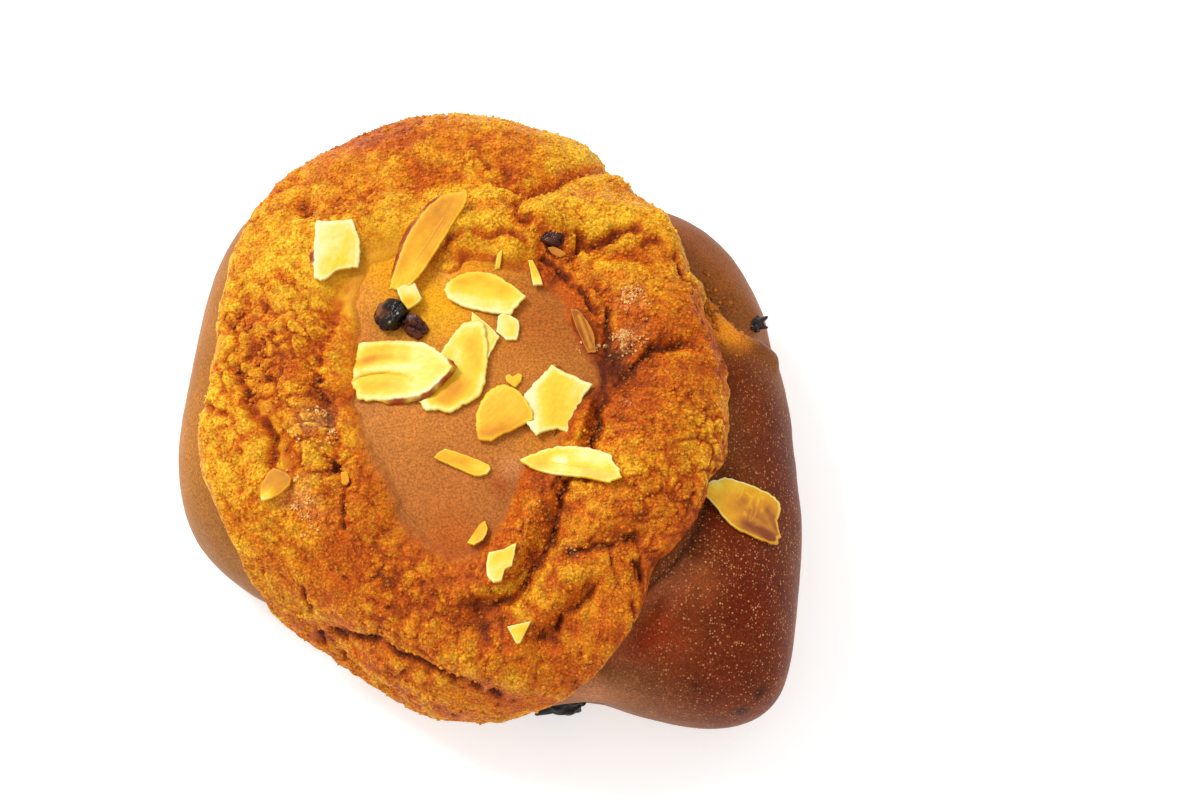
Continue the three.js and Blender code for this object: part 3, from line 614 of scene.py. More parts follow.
hollow = blur(thickness, 5) - thickness
weight = np.stack([near(form, place, BAKE_REACH) for place, _ in CRUST_BAKE])
amount = np.array([bake for _, bake in CRUST_BAKE])[:, None, None]
tone = (weight * amount).sum(0) + ELSEWHERE_WEIGHT * BAKE_ELSEWHERE
tone = tone / (weight.sum(0) + ELSEWHERE_WEIGHT) + ripples(form, TONE_WAVES, 81)
# Painted shade: the tone is pushed darker and redder in the hollows, along the cracks, and in the crazing,
# the pits and the crevices between the clods.
tone = tone + np.clip(0.5 * hollow, -0.22, 0.35) + 0.28 * np.clip(crack_depth, 0, 1.4)
tone = tone + 0.12 * crazing + 0.15 * pits + 0.3 * crevices * clodded
# At the hem the tone is paler where the edge is ragged, and darker where it runs straight over the bread's
# corner, as painted shade of the crease under the hem there.
tone = tone + (0.35 - 0.55 * raggedness) * (1 - smoothstep(from_hem, 0, 1.2))
for place, spread, more in CRUST_ACCENTS:
    tone = tone + more * near(form + warp, place, spread)
sugared = np.clip(sum(near(form, place, spread) for place, spread in SANDY_PLACES), 0, 1)
melted = 0.35 * sugared * smoothstep(noise(form, 2.2, 85), -0.3, 0.5)
blend = 1 - smoothstep(from_window, 0.3, swell(WINDOW_BLEND, WINDOW_BLEND_LOBES, ring))
crust_colour = mix(tone_colours(tone, CRUST_TONES), linear(MELTED_SUGAR), melted)
crust_colour = mix(crust_colour, paint(form, BREAD_GROUND, BREAD_SHADES), blend)

crust = make_surface("cookie_dough_crust", crust_points,
                     {"bake": crust_colour, "sandy": sandy * smoothstep(tone, -0.2, 0.1)}, closed=True)

# Baked cookie dough: sugar, butter and flour in grains of about half a millimetre, golden where they stand
# out and reddish brown between them. The colour follows each grain's height, with painted shade low between
# the grains and a painted glint at their tops. It has small pores, darkened as painted shade. It is dry, but
# sugar glints in it.
GRAIN = 0.5
CLUMP = 2.0
PORE = 1.8
GRAIN_SHADING_TINTS = [  # (share, half of what the colour is multiplied by)
    (0.4, (0.46, 0.42, 0.36, 1)), (0.7, (0.54, 0.54, 0.54, 1))]
GAP_SHADE_TINT = (0.36, 0.2, 0.05, 1)
GRAIN_GLINT_TINT = (0.67, 0.87, 1.0, 1)
PORE_TINT = (0.58, 0.34, 0.24)
dough_material, tree = new_material("baked_cookie_dough")
coordinates = add_node(tree, "ShaderNodeTexCoord").outputs["Object"]
sandy_share = stored(tree, "sandy", "Fac")
grain = remap(tree, speckle(tree, coordinates, GRAIN, 2.0, 0.7), 0.32, 0.68, 0.0, 1.0)
clump_tone = remap(tree, speckle(tree, coordinates, CLUMP, 2.0, 0.6), 0.35, 0.65, 1.64, 2.36)
pore = remap(tree, speckle(tree, coordinates, PORE, 3.0, 0.7), 0.32, 0.4, 0.8, 0.0)
# Painted light on the grains: shade between them, a glint at their tops, by the same height as the bump.
grain_shading = add_node(tree, "ShaderNodeValToRGB", {"Fac": grain})
grain_shading.color_ramp.elements[0].color = GAP_SHADE_TINT
grain_shading.color_ramp.elements[1].color = GRAIN_GLINT_TINT
for at, half_tint in GRAIN_SHADING_TINTS:
    grain_shading.color_ramp.elements.new(at).color = half_tint
tint = combine(tree, "MULTIPLY", grain_shading.outputs["Color"], clump_tone, "ShaderNodeVectorMath")
pored = combine(tree, "MULTIPLY", pore, sandy_share)
even_tint = add_node(tree, "ShaderNodeMix", {"Factor": sandy_share, 5: tint}, {4: (1, 1, 1)},
                     data_type="VECTOR")
toned = combine(tree, "MULTIPLY", stored(tree, "bake"), even_tint.outputs[1], "ShaderNodeVectorMath")
# Painted shade: the pores are darker and redder.
pore_shaded = add_node(tree, "ShaderNodeVectorMath", {0: toned}, {1: PORE_TINT}, operation="MULTIPLY")
poked = add_node(tree, "ShaderNodeMix", {"Factor": pored, 6: toned, 7: pore_shaded.outputs[0]},
                 data_type="RGBA")
bump = add_node(tree, "ShaderNodeBump", {"Height": combine(tree, "SUBTRACT", grain, pored)},
                {"Strength": 0.6, "Distance": 0.0002})
dress(crust, dough_material,
      {"Base Color": poked.outputs[2], "Normal": bump.outputs["Normal"],
       "Roughness": remap(tree, sandy_share, 0.0, 1.0, 0.36, 0.48)}, {"Specular IOR Level": 0.1})

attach(crust, "root")
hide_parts("cookie_crust")

# ------------------------------------------------------------------------------------------------
# Dough crumbs
# Grains of the same cookie dough that stand proud of the crust, half sunk in it, most on the sandy
# plates and few in the smooth troughs.
# ------------------------------------------------------------------------------------------------

CRUMB_COUNT = 6000
CRUMB_SIZE = (0.35, 0.95)  # smallest and largest across
CRUMB_GRID = (3, 5)
CRUMB_RISE = 0.05  # of its size, from half sunk
CRUMB_CREAM = ("#f2b950", 0.15)  # (colour, share) mixed into the crust's own
SKIRT_COUNT = 350  # crumbs that fell onto the bread below the hem, at the right
SKIRT_PLACE = ((42, 16, 36.5), 5.0)  # (middle, reach)
SKIRT_SIZE = (0.4, 1.1)
SKIRT_COLOUR = "#c8741f"


def normals_of(rows):
    """Unit normals of a closed grid of points: the cross product of its two central differences."""
    down = np.roll(rows, -1, 0) - np.roll(rows, 1, 0)
    along = np.roll(rows, -1, 1) - np.roll(rows, 1, 1)
    normal = np.cross(down, along)
    return normal / np.maximum(np.linalg.norm(normal, axis=-1, keepdims=True), 1e-9)


def ball(rows, columns):
    """Unit directions on a grid from the north pole to the south pole, without the poles."""
    polar = np.linspace(0, np.pi, rows + 2)[1:-1, None]
    turn = np.arange(columns)[None] * 2 * np.pi / columns
    x, y = np.sin(polar) * np.cos(turn), np.sin(polar) * np.sin(turn)
    return np.stack(np.broadcast_arrays(x, y, np.cos(polar)), -1)


def scatter(name, places, sizes, shape, colours, seed):
    """One mesh of many lumps: each is the shape's grid of unit directions, roughened, stretched by its
    size along three random axes and set at its place; its colour is stored as the attribute bake."""
    draw = np.random.default_rng(seed)
    count = len(places)
    rows, columns = shape.shape[:2]
    spin = np.linalg.qr(draw.normal(size=(count, 3, 3)))[0]
    stretch = draw.uniform(0.7, 1.25, (count, 1, 1, 3))
    rough = draw.uniform(0.78, 1.2, (count, rows, columns, 1))
    lumps = shape[None] * rough * stretch * sizes[:, None, None, None] / 2
    lumps = np.einsum("nrck,nkj->nrcj", lumps, spin) + places[:, None, None]
    first = np.arange(rows * columns).reshape(rows, columns)
    beside = np.roll(first, -1, 1)
    quads = np.stack([first[:-1], first[1:], beside[1:], beside[:-1]], -1).reshape(-1, 4)
    north, south = rows * columns, rows * columns + 1
    caps = np.vstack([np.stack([first[0], beside[0], np.full(columns, north)], -1),
                      np.stack([beside[-1], first[-1], np.full(columns, south)], -1)])
    vertices = np.concatenate([lumps.reshape(count, -1, 3), lumps[:, :1].mean(2), lumps[:, -1:].mean(2)], 1)
    start = np.arange(count)[:, None, None] * (rows * columns + 2)
    handed = np.linalg.det(spin) < 0
    quads = np.where(handed[:, None, None], (quads[None] + start)[..., ::-1], quads[None] + start)
    caps = np.where(handed[:, None, None], (caps[None] + start)[..., ::-1], caps[None] + start)
    mesh = bpy.data.meshes.new(name)
    faces = quads.reshape(-1, 4).tolist() + caps.reshape(-1, 3).tolist()
    mesh.from_pydata((vertices.reshape(-1, 3) / 1000).tolist(), [], faces)
    paints = np.repeat(np.hstack([colours, np.ones((count, 1))]), rows * columns + 2, axis=0)
    bake = mesh.attributes.new("bake", "FLOAT_COLOR", "POINT")
    bake.data.foreach_set("color", paints.astype(np.float32).ravel())
    mesh.shade_smooth()
    piece = bpy.data.objects.new(name, mesh)
    bpy.context.scene.collection.objects.link(piece)
    return piece


draw = np.random.default_rng(5)
field = slice(4, steps_over - 2)  # the rows of the top that carry grains
crust_normals = normals_of(crust_points)
outward = np.sign((crust_normals[steps_over // 2] * form[steps_over // 2]).sum())
ground_points = crust_points[field].reshape(-1, 3)
ground_normals = (crust_normals * outward)[field].reshape(-1, 3)
ground_colours = crust_colour[field].reshape(-1, 3)
ground_spacing = np.linalg.norm(np.diff(crust_points, axis=0), axis=-1)[field].ravel()
likely = (sandy * smoothstep(from_window, 3, 10) * smoothstep(from_hem, 2, 6))[field].ravel()
likely = likely * ground_spacing
chosen = draw.choice(len(likely), CRUMB_COUNT, p=likely / likely.sum())
crumb_sizes = CRUMB_SIZE[0] + (CRUMB_SIZE[1] - CRUMB_SIZE[0]) * draw.random(CRUMB_COUNT) ** 2
crumb_places = ground_points[chosen] + ground_normals[chosen] * (CRUMB_RISE * crumb_sizes[:, None])
crumb_colours = ground_colours[chosen] * draw.uniform(0.9, 1.5, (CRUMB_COUNT, 1))
crumb_colours = mix(crumb_colours, linear(CRUMB_CREAM[0]), np.full(CRUMB_COUNT, CRUMB_CREAM[1]))

skin = skin_points.reshape(-1, 3)
skirt = near(skin, *SKIRT_PLACE) * smoothstep(noise(skin, 2.4, 9), -0.3, 0.4)
fallen = draw.choice(len(skirt), SKIRT_COUNT, p=skirt / skirt.sum())
crumb_places = np.vstack([crumb_places, skin[fallen]])
crumb_sizes = np.concatenate([crumb_sizes, draw.uniform(*SKIRT_SIZE, SKIRT_COUNT)])
skirt_colours = linear(SKIRT_COLOUR) * draw.uniform(0.5, 1.2, (SKIRT_COUNT, 1))
crumb_colours = np.vstack([crumb_colours, skirt_colours])
crumbs = scatter("dough_crumbs", crumb_places, crumb_sizes, ball(*CRUMB_GRID), crumb_colours, 6)
crumbs.data.materials.append(dough_material)

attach(crumbs, "root")

# ------------------------------------------------------------------------------------------------
# Sugar
# Coarse sugar baked onto the ridges of the dough, part melted, in glassy grains about half a
# millimetre across.
# ------------------------------------------------------------------------------------------------

SUGAR_COUNT = 520
SUGAR_SIZE = (0.3, 0.65)
SUGAR_RISE = 0.12
# The cream grains are partly the sugar's own colour and partly painted glints.
SUGAR_CREAM_AND_GLINT = "#ffd488"
likely = sugared[field].ravel() ** 1.5 * ground_spacing * smoothstep(noise(ground_points, 2.2, 8), 0.0, 0.4)
chosen = draw.choice(len(likely), SUGAR_COUNT, p=likely / likely.sum())
grain_sizes = draw.uniform(*SUGAR_SIZE, SUGAR_COUNT)
grain_places = ground_points[chosen] + ground_normals[chosen] * SUGAR_RISE
clearness = draw.random(SUGAR_COUNT) ** 0.7  # cream at 0, and the crust shines through at 1
grain_colours = mix(linear(SUGAR_CREAM_AND_GLINT), 1.3 * ground_colours[chosen], clearness)
sugar = scatter("sugar_grains", grain_places, grain_sizes, ball(*CRUMB_GRID), grain_colours, 7)
sugar.data.shade_flat()

# Half-melted sugar: clear to cream, with flat faces that catch the light.
sugar_material, tree = new_material("half_melted_sugar")
dress(sugar, sugar_material, {"Base Color": stored(tree, "bake")},
      {"Roughness": 0.25, "Specular IOR Level": 0.2, "Subsurface Weight": 0.3,
       "Subsurface Scale": 0.0004})

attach(sugar, "root")

# ------------------------------------------------------------------------------------------------
# Raisins
# Dried grapes worked into the bread dough. Two lie bare in the window, one peeps from under a flap
# of crust, and one at the side and one at the foot of the bun are burnt black and jagged.
# ------------------------------------------------------------------------------------------------

RAISIN_GRID = (60, 84)
RAISIN_PAINTED_GLINTS = [(direction, 0.07, "#e4dcd4") for direction in (  # painted highlights: small pale glints on the skin
    (-0.20, -0.20, 0.96), (-0.29, -0.41, 0.86), (-0.08, -0.50, 0.86), (-0.67, -0.31, 0.67),
    (0.09, -0.29, 0.95), (-0.47, -0.44, 0.76))]
RAISINS = {  # node: (turn, depth of the wrinkles, jaggedness, dark colour, light colour,
    #                 [(direction, spread, colour) of patches],
    #                 [(direction, reach) of torn points, or of dents below 0])
    "raisin_window": (
        65, 0.3, 0.1, "#0b0707", "#2c1a16",
        [((-0.13, 0.60, 0.79), 0.6, "#9a5a2c"), ((-0.45, 0.34, 0.82), 0.3, "#5a2c14"), *RAISIN_PAINTED_GLINTS],
        [((0.05, 0.13, 0.99), -0.12), ((-0.45, 0.17, 0.87), -0.15), ((0.05, 0.74, 0.67), 0.15)]),
    # Its grey-lilac patch on the upper left, towards the key light, is a painted highlight.
    "raisin_window_right": (
        -20, 0.3, 0.16, "#300f09", "#702c16", [((-0.5, 0.5, 0.7), 0.4, "#7a6468")], []),
    "raisin_under_flap": (
        -22, 0.3, 0.1, "#120907", "#4a2418",
        [((0.9, -0.4, 0.2), 0.5, "#6e4a32"), ((-0.2, -0.5, 0.9), 0.45, "#6e3520"),
         ((-1, 0.2, 0.5), 0.35, "#b07848")], []),
    "raisin_right_side": (
        15, 0.35, 0.3, "#090605", "#2a1a14", [((-0.2, -0.2, 1), 0.3, "#8a5a34")],
        [((1, 0.1, 0.4), 0.75), ((0.85, -0.6, 0.1), 0.5), ((0.4, 0.9, 0.2), 0.3)]),
    "raisin_front_base": (
        6, 0.3, 0.35, "#090605", "#1e120e", [],
        [((0.5, -0.8, 0), 0.3), ((-0.4, -0.9, 0), 0.35), ((0.05, -1, 0.1), 0.25)]),
}
TORN_WIDTH = 0.22  # of a torn point, in radii


def towards(direction):
    """Unit vector in a direction."""
    return np.array(direction) / np.linalg.norm(direction)


def raisin_surface(low, high, turn, wrinkle, jagged, points_out, seed):
    """Ellipsoid that fills the box when turned, with skin drawn into furrows that run lengthwise: where
    a noise passes through zero it sinks. Fine noise breaks its outline and torn points stand out. Also
    gives the radius and the direction of each point."""
    unit = ball(*RAISIN_GRID)
    drawn = unit * np.array([0.55, 1.15, 1.15])
    furrow = 1 - np.abs(noise(drawn, 0.75, seed)) * 2.2
    fine_furrow = 1 - np.abs(noise(drawn, 0.3, seed + 1)) * 2.2
    radius = 1 - wrinkle * np.clip(furrow, 0, 1) ** 2 * 0.6
    radius = radius - wrinkle * 0.35 * np.clip(fine_furrow, 0, 1) ** 2
    radius = radius + 0.16 * noise(unit, 1.3, seed + 2)
    radius = radius + jagged * np.clip(noise(unit, 0.3, seed + 3), -0.3, 1)
    for direction, reach in points_out:
        radius = radius + reach * near(unit, towards(direction), TORN_WIDTH)
    half = (high - low) / 2
    spin = np.radians(turn)
    shape = unit * radius[..., None] * np.array([half[0], 0.75 * half[0], half[2]])
    points = shape.copy()
    points[..., 0] = shape[..., 0] * np.cos(spin) - shape[..., 1] * np.sin(spin)
    points[..., 1] = shape[..., 0] * np.sin(spin) + shape[..., 1] * np.cos(spin)
    least, most = points.min((0, 1)), points.max((0, 1))
    return low + (points - least) / (most - least) * (high - low), radius, unit


# Raisin skin: dark, drawn and waxy, finely puckered, so that its ridges shine.
PUCKER = 0.5
raisin_material, tree = new_material("dried_grape_skin")
coordinates = add_node(tree, "ShaderNodeTexCoord").outputs["Object"]
bump = add_node(tree, "ShaderNodeBump", {"Height": speckle(tree, coordinates, PUCKER, 3.0, 0.6)},
                {"Strength": 0.8, "Distance": 0.0002})
dress(None, raisin_material, {"Base Color": stored(tree, "bake"), "Normal": bump.outputs["Normal"]},
      {"Roughness": 0.13, "IOR": 1.4})

raisins = []
for number, (node, looks) in enumerate(RAISINS.items()):
    turn, wrinkle, jagged, dark, light, patches, points_out = looks
    low, high = (np.array(corner) * 1000 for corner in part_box(node))
    points, radius, unit = raisin_surface(low, high, turn, wrinkle, jagged, points_out, 100 + 10 * number)
    colour = mix(linear(dark), linear(light), smoothstep(radius, 0.75, 1.15))
    for direction, spread, hue in patches:
        share = 0.85 * near(unit, towards(direction), spread, 4)
        share = share * smoothstep(noise(unit, 0.3, 190), -0.6, 0.2)
        colour = mix(colour, linear(hue), share)
    raisin = make_surface(node + "_skin", points, {"bake": colour})
    raisin.data.materials.append(raisin_material)
    raisins.append(raisin)
    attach(raisin, "root")
    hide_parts(node)

# ------------------------------------------------------------------------------------------------
# Almond slices
# Blanched almonds and almonds in their skin, sliced across the flat of the kernel, strewn on before
# baking. Most snapped; they curl a little and toast from the rim or along the middle.
# ------------------------------------------------------------------------------------------------

SLICE_THICKNESS = 0.9
SLICE_GRID = (28, 180)  # rings from the middle to the rim, and points round each
RIM = (0.17, 0.74)  # (how much paler, where it starts): the rim toasts last
FIBRE_HEIGHT = 0.016
CREASE = (0.3, 0.25)  # (depth, half width)
BURIED_SHARE = 12  # per cent of a slice's underside that sinks into what it lies on
SKIN_FLARE = 1.0  # where the rim keeps its skin, it slants out by this much
SKIN_COLOUR = "#983910"
ALMONDS = {  # node: (toast, curl, height of the fold along it, [(x, y, x, y, spread, further toast)
    #                along a line], [(x, y, spread) of brown skin at the rim])
    "almond_chip_far_left": (0.04, 0.3, 0.0, [(0, -4, 3, 3, 2.0, 0.1), (-4, 0, -3, 5, 2, -0.1)],
                             [(-4.6, -1.5, 1.6)]),
    "almond_curved_far": (0.5, 0.7, 0.2, [(0, 4, 3, 8, 1.8, 0.1), (-5, -8, -2, -5, 2, -0.2),
                                          (2, -2, 6, 3, 1, -0.16)], [(-4, 2, 4), (-6, -4, 3.5), (0, 8, 3)]),
    "almond_chip_by_raisin": (0.08, 0.1, 0.0, [(-0.7, -2.2, 0, -1.2, 1.3, 0.35),
                                               (0, 1, 1, 2, 1.4, -0.1)], []),
    "almond_half_moon": (0.14, 0.4, 0.0, [(-4.5, 2.4, -1, 3, 2.2, 0.24), (-1, 3, 4, 1, 2.2, 0.2),
                                          (-5, -1.5, 2, -3.5, 1.6, -0.12)], []),
    "almond_flake_middle": (0.08, 0.2, 0.0, [(-2, 1, -1, -1, 1.2, 0.15)], []),
    "almond_bent_middle": (0.16, 0.4, 0.0, [(3.6, 5, 4.2, 0, 1.8, 0.16), (1, -3.5, -1.5, -6.5, 2.2, 0.4),
                                           (-5, -8, 0, -9, 1.2, -0.15), (1, 3, 1.5, -1, 1.2, -0.08)], []),
    "almond_chip_square": (0.03, 0.1, 0.0, [(0.5, -1.5, 1, 0, 1, 0.08)], []),
    "almond_half_left": (0.12, 0.9, 0.0, [(-9.1, 1.5, -5.5, 2.6, 1.0, 0.46),
                                          (-5.5, 2.6, -2.5, 2.8, 0.9, 0.34),
                                          (-2.5, 2.8, 0.5, 2.5, 0.9, 0.16), (-9, 3.4, -3, 4.4, 1.6, 0.16),
                                          (-8, -3.2, -1, -3, 1.5, 0.2), (-7, 0.5, 3, 0.1, 0.6, -0.14),
                                          (7.5, -1, 9, -0.6, 1.4, 0.14)],
                         [(4, -5, 3), (8, -2.6, 2.6), (-1, -6.2, 2.4), (9, 0, 1.5)]),
    "almond_square_right": (0.04, 0.8, 0.0, [(-0.5, 4, -0.8, -5, 2.6, 0.2), (4, 3, 4, -3, 1.6, 0.08),
                                            (-5.5, 3, -5, -5, 1.4, -0.2)], [(0, 6.5, 1.2)]),
    "almond_half_round": (0.36, 0.3, 0.0, [(-5, -4.5, 3, -3.4, 1.6, 0.24), (-1, 4, 1, 2, 2, -0.06)], []),
    "almond_sliver_far": (0.12, 0.0, 0.0, [(-1, 2, 0, 0, 0.8, 0.15)], []),
    "almond_stick_middle": (0.34, 0.1, 0.0, [(-4, 1.2, 1, -0.2, 0.8, 0.14),
                                             (3, -1.4, 5, -1.8, 0.8, -0.12)], []),
    # Of the leaf slice's lines, the pale one from (-3, 1.6) to (-1.6, 1.2) is a painted highlight.
    "almond_leaf_right": (0.12, 0.9, -0.5, [(-9, 0, -3.5, 1.6, 1.6, 0.2), (3, -2.2, 9, -3.6, 1.6, 0.2),
                                            (-3, 1.6, -1.6, 1.2, 0.9, -0.3), (2, 2, 6, 1, 1.6, -0.12)], []),
    "almond_tucked_right": (0.44, -0.7, 0.4, [(0.5, 0.5, 4, -1.5, 2.6, 0.34), (1, -3, 6, -4.5, 2.1, 0.48),
                                              (5, 1, 7.2, -3, 1.6, 0.36), (-8, 5.5, -4.5, 4, 1.6, -0.32),
                                              (-3.5, 4.8, -1, 4, 1.8, -0.18)], []),
    "almond_browned_left": (0.66, 0.2, 0.0, [(-2.8, -3, -1.5, -2, 1.2, -0.5), (1, 2, 2, 1, 1.4, 0.06)], []),
    "almond_sliver_front": (0.44, 0.0, 0.0, [(-1.6, -2, -1, -1, 0.8, -0.12)], []),
    "almond_chip_front": (0.1, 0.2, 0.0, [(-1, 1, 1, 2, 1.2, 0.12)], []),
    "almond_triangle_front": (0.12, 0.0, 0.0, [(1, 0.5, 1.6, -0.5, 0.8, 0.16)], []),
    "almond_skin_right": (0.86, 0.2, 0.0, [(-0.8, 2.6, 1.4, -3, 0.3, -0.2), (0.2, 2.8, 2, -2, 0.25, -0.14)],
                          [(-1.5, 1.5, 1.5)]),
}
TUCKED_SLICE = "almond_tucked_right"  # lies on the bread, and the hem lies on it
ALMOND_CREASES = {
    "almond_half_left": [(-9.8, -2.2), (-8, -1.2), (-6, -0.7), (-3, -0.6), (-0.5, -1.1), (2, -2.3)]}
ALMOND_WRINKLES = {TUCKED_SLICE: ((1.5, 1.0), 3.6, 0.3)}  # (middle, reach, depth), across it
ALMOND_RIMS = {TUCKED_SLICE: (0.42, 0.9)}  # a paler rim than the others', starting further out: partly the slice's own pale edge, partly a painted highlight
ALMOND_CHIPS = {  # piece: (toast, skin at the rim, outline) of crumbs of almond, placed on the bun
    "almond_heart_chip": (0.34, [], [
        (3.6, -1.7), (4.3, -1.3), (5.0, -1.9), (6.1, -1.1), (6.8, -1.5), (6.6, -2.7), (5.5, -4.1),
        (4.6, -3.5), (3.8, -2.7)]),
    "almond_left_chip": (0.45, [], [
        (-26.8, -20.7), (-25.5, -20.6), (-25.2, -22.4), (-25.7, -23.0), (-26.6, -22.8)]),
    "almond_far_chip": (0.2, [(-0.7, 0.3, 1.0)], [
        (1.3, 20.9), (1.8, 23.3), (2.5, 24.2), (2.8, 23.9), (2.3, 21.2)]),
    "almond_flap_chip": (0.72, [], [
        (11.4, 25.3), (12.4, 25.5), (13.9, 24.7), (14.9, 23.8), (13.7, 23.4), (12.2, 24.2)]),
}
CHIP_GRID = (9, 60)
CHIP_FEELERS = 24  # points of its outline that feel for what it lies on
CHIP_RISE = 0.3  # of its thickness
ALMOND_TONES = [  # (toast, colour)
    (-0.15, "#f3edb8"), (0.0, "#f1e78f"), (0.15, "#f0d444"), (0.35, "#efb92c"), (0.55, "#e59a22"),
    (0.75, "#c47c2c"), (0.9, "#934a22"), (1.1, "#762f10")]


def slice_outline(node):
    """Outline of a slice's CAD node in plan, in order, and the plane (height, slope along x, slope
    along y) through its middle: its lower face's edges that belong to one triangle only, chained."""
    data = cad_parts[node].data
    points = np.array([vertex.co[:] for vertex in data.vertices]) * 1000
    plan, member = np.unique(points[:, :2].round(3), axis=0, return_inverse=True)
    member = member.ravel()
    low = np.full(len(plan), np.inf)
    np.minimum.at(low, member, points[:, 2])
    is_low = points[:, 2] < low[member] + 0.1
    count = {}
    for face in data.polygons:
        if all(is_low[i] for i in face.vertices):
            corners = [int(member[i]) for i in face.vertices]
            for a, b in zip(corners, corners[1:] + corners[:1]):
                count[(a, b)] = count.get((a, b), 0) + 1
    follows = {a: b for a, b in count if (b, a) not in count}
    chain = [next(iter(follows))]
    while follows[chain[-1]] != chain[0]:
        chain.append(follows[chain[-1]])
    rows = np.column_stack([np.ones(len(points)), points[:, :2]])
    return plan[chain], np.linalg.lstsq(rows, points[:, 2], rcond=None)[0]


def resample(corners, count):
    """Closed outline through the corners as evenly spaced points."""
    loop = np.vstack([corners, corners[:1]])
    lengths = np.concatenate([[0], np.cumsum(np.linalg.norm(np.diff(loop, axis=0), axis=1))])
    at = np.arange(count) / count * lengths[-1]
    return np.column_stack([np.interp(at, lengths, loop[:, axis]) for axis in range(2)])


def slice_surface(outline, plane, curl, fold, skinned, crease, wrinkle, grid, seed):
    """Thin plate: rings drawn from the outline in to a spine along its length, first over the top,
    then round the rim and back along the bottom, on the node's plane and curled up at both ends. Its
    rim slants out where it has skin, and its top has fibres, and a crease or wrinkles if it is given
    them. Also gives each point's place from the middle, its share of the way out and its fibre."""
    rings, columns = grid
    centre = (outline.min(0) + outline.max(0)) / 2
    rim = resample(outline, columns) - centre
    step = np.column_stack([rim, np.zeros(columns)])
    rim = rim * (1 + ripples(step, [(0.03, 1.1), (0.02, 0.5)], seed))[:, None]
    axis = np.linalg.svd(rim, full_matrices=False)[2][0]
    sideways = np.array([-axis[1], axis[0]])
    reach = np.abs(rim @ axis).max()
    width = np.abs(rim @ sideways).max()
    half_spine = 0.7 * (reach - width)
    spine = np.clip(rim @ axis, -half_spine, half_spine)[:, None] * axis
    below = rings // 3
    out = np.concatenate([np.linspace(0.03, 0.94, rings), [0.985, 1.0, 0.99], np.linspace(0.94, 0.05, below)])
    level = np.concatenate([np.full(rings, 1.0), [0.8, 0.0, -0.8], np.full(below, -1.0)])
    plan = spine + (rim - spine) * out[:, None, None]
    flare = sum((near(rim, (x, y), spread, 4) for x, y, spread in skinned), np.zeros(columns))
    slant = SKIN_FLARE * np.clip(flare, 0, 1) * ((1 - level) / 2 * smoothstep(out, 0.5, 1))[:, None]
    plan = plan + slant[..., None] * rim / np.linalg.norm(rim, axis=1, keepdims=True)
    along = plan @ axis / reach
    thick = SLICE_THICKNESS / 2 * (1 - 0.25 * out[:, None] ** 4)
    fibre = noise(np.dstack([plan @ axis / 4, plan @ sideways, 0 * along]), 0.5, seed + 2)
    height = plane[0] + (plan + centre) @ plane[1:] + level[:, None] * thick + curl * along ** 2
    height = height + FIBRE_HEIGHT * fibre
    height = height + fold * (np.sqrt((plan @ sideways / width) ** 2 + 0.04) - 0.5)
    place = np.dstack([plan, 0 * along])
    if crease is not None:
        height = height - CREASE[0] * bell(from_path(place, crease)[0], CREASE[1])
    if wrinkle is not None:
        middle, extent, depth = wrinkle
        veins = np.abs(noise(np.dstack([plan @ axis, plan @ sideways / 4, 0 * along]), 0.6, seed + 3))
        veins = smoothstep(0.3 - veins, 0, 0.3) * (level[:, None] > 0) * near(plan, middle, extent, 4)
        height = height + 0.3 * depth * veins
        fibre = fibre - 0.4 * depth * veins / FIBRE_HEIGHT  # and they are paler
    return np.dstack([plan + centre, height]), place, np.broadcast_to(out[:, None], along.shape), fibre


def almond_colour(place, out, fibre, toast, toasted, skinned, crease, rim, seed):
    """Colour by toast: its own noise and fibres, more or less along lines, darker along the crease as painted
    shade, and at the pale rim, with a brown edge; and then its skin."""
    level = toast + ripples(place, [(0.05, 2.5), (0.03, 0.8)], seed) + 0.03 * fibre
    most, least = 0, 0
    for x, y, end_x, end_y, spread, more in toasted:
        away, _ = from_path(place, np.array([(x, y, 0), (end_x, end_y, 0)]))
        most = np.maximum(most, more * bell(away, spread))
        least = np.minimum(least, more * bell(away, spread))
    level = level + most + least
    # Painted shade: darker along the crease.
    if crease is not None:
        level = level + 0.6 * bell(from_path(place, crease)[0], 0.13) * smoothstep(-place[..., 0], -4, 5)
    paleness, start = rim
    level = level - paleness * smoothstep(out, start, 0.94) + 0.28 * smoothstep(out, 0.97, 1.0)
    skin_share = np.zeros_like(out)
    for x, y, spread in skinned:
        rim_share = smoothstep(out + 0.02 * noise(place, 1, 9), 0.95, 0.985)
        skin_share = np.maximum(skin_share, near(place[..., :2], (x, y), spread, 4) * rim_share)
    brown = linear(SKIN_COLOUR) * (1 + 0.3 * noise(place, 0.6, 10))[..., None]
    return mix(tone_colours(level, ALMOND_TONES), brown, skin_share)


def ground_under(points, trees):
    """Height of the highest surface below each point, found by rays from above."""
    heights = []
    for x, y, _ in points:
        hits = [tree.ray_cast(Vector((x / 1000, y / 1000, 0.2)), Vector((0, 0, -1)))[0] for tree in trees]
        heights.append(max((hit.z * 1000 for hit in hits if hit), default=-99))
    return np.array(heights)


def tree_of(piece):
    """Search tree of a piece's faces, for rays."""
    return BVHTree.FromObject(piece, bpy.context.evaluated_depsgraph_get())


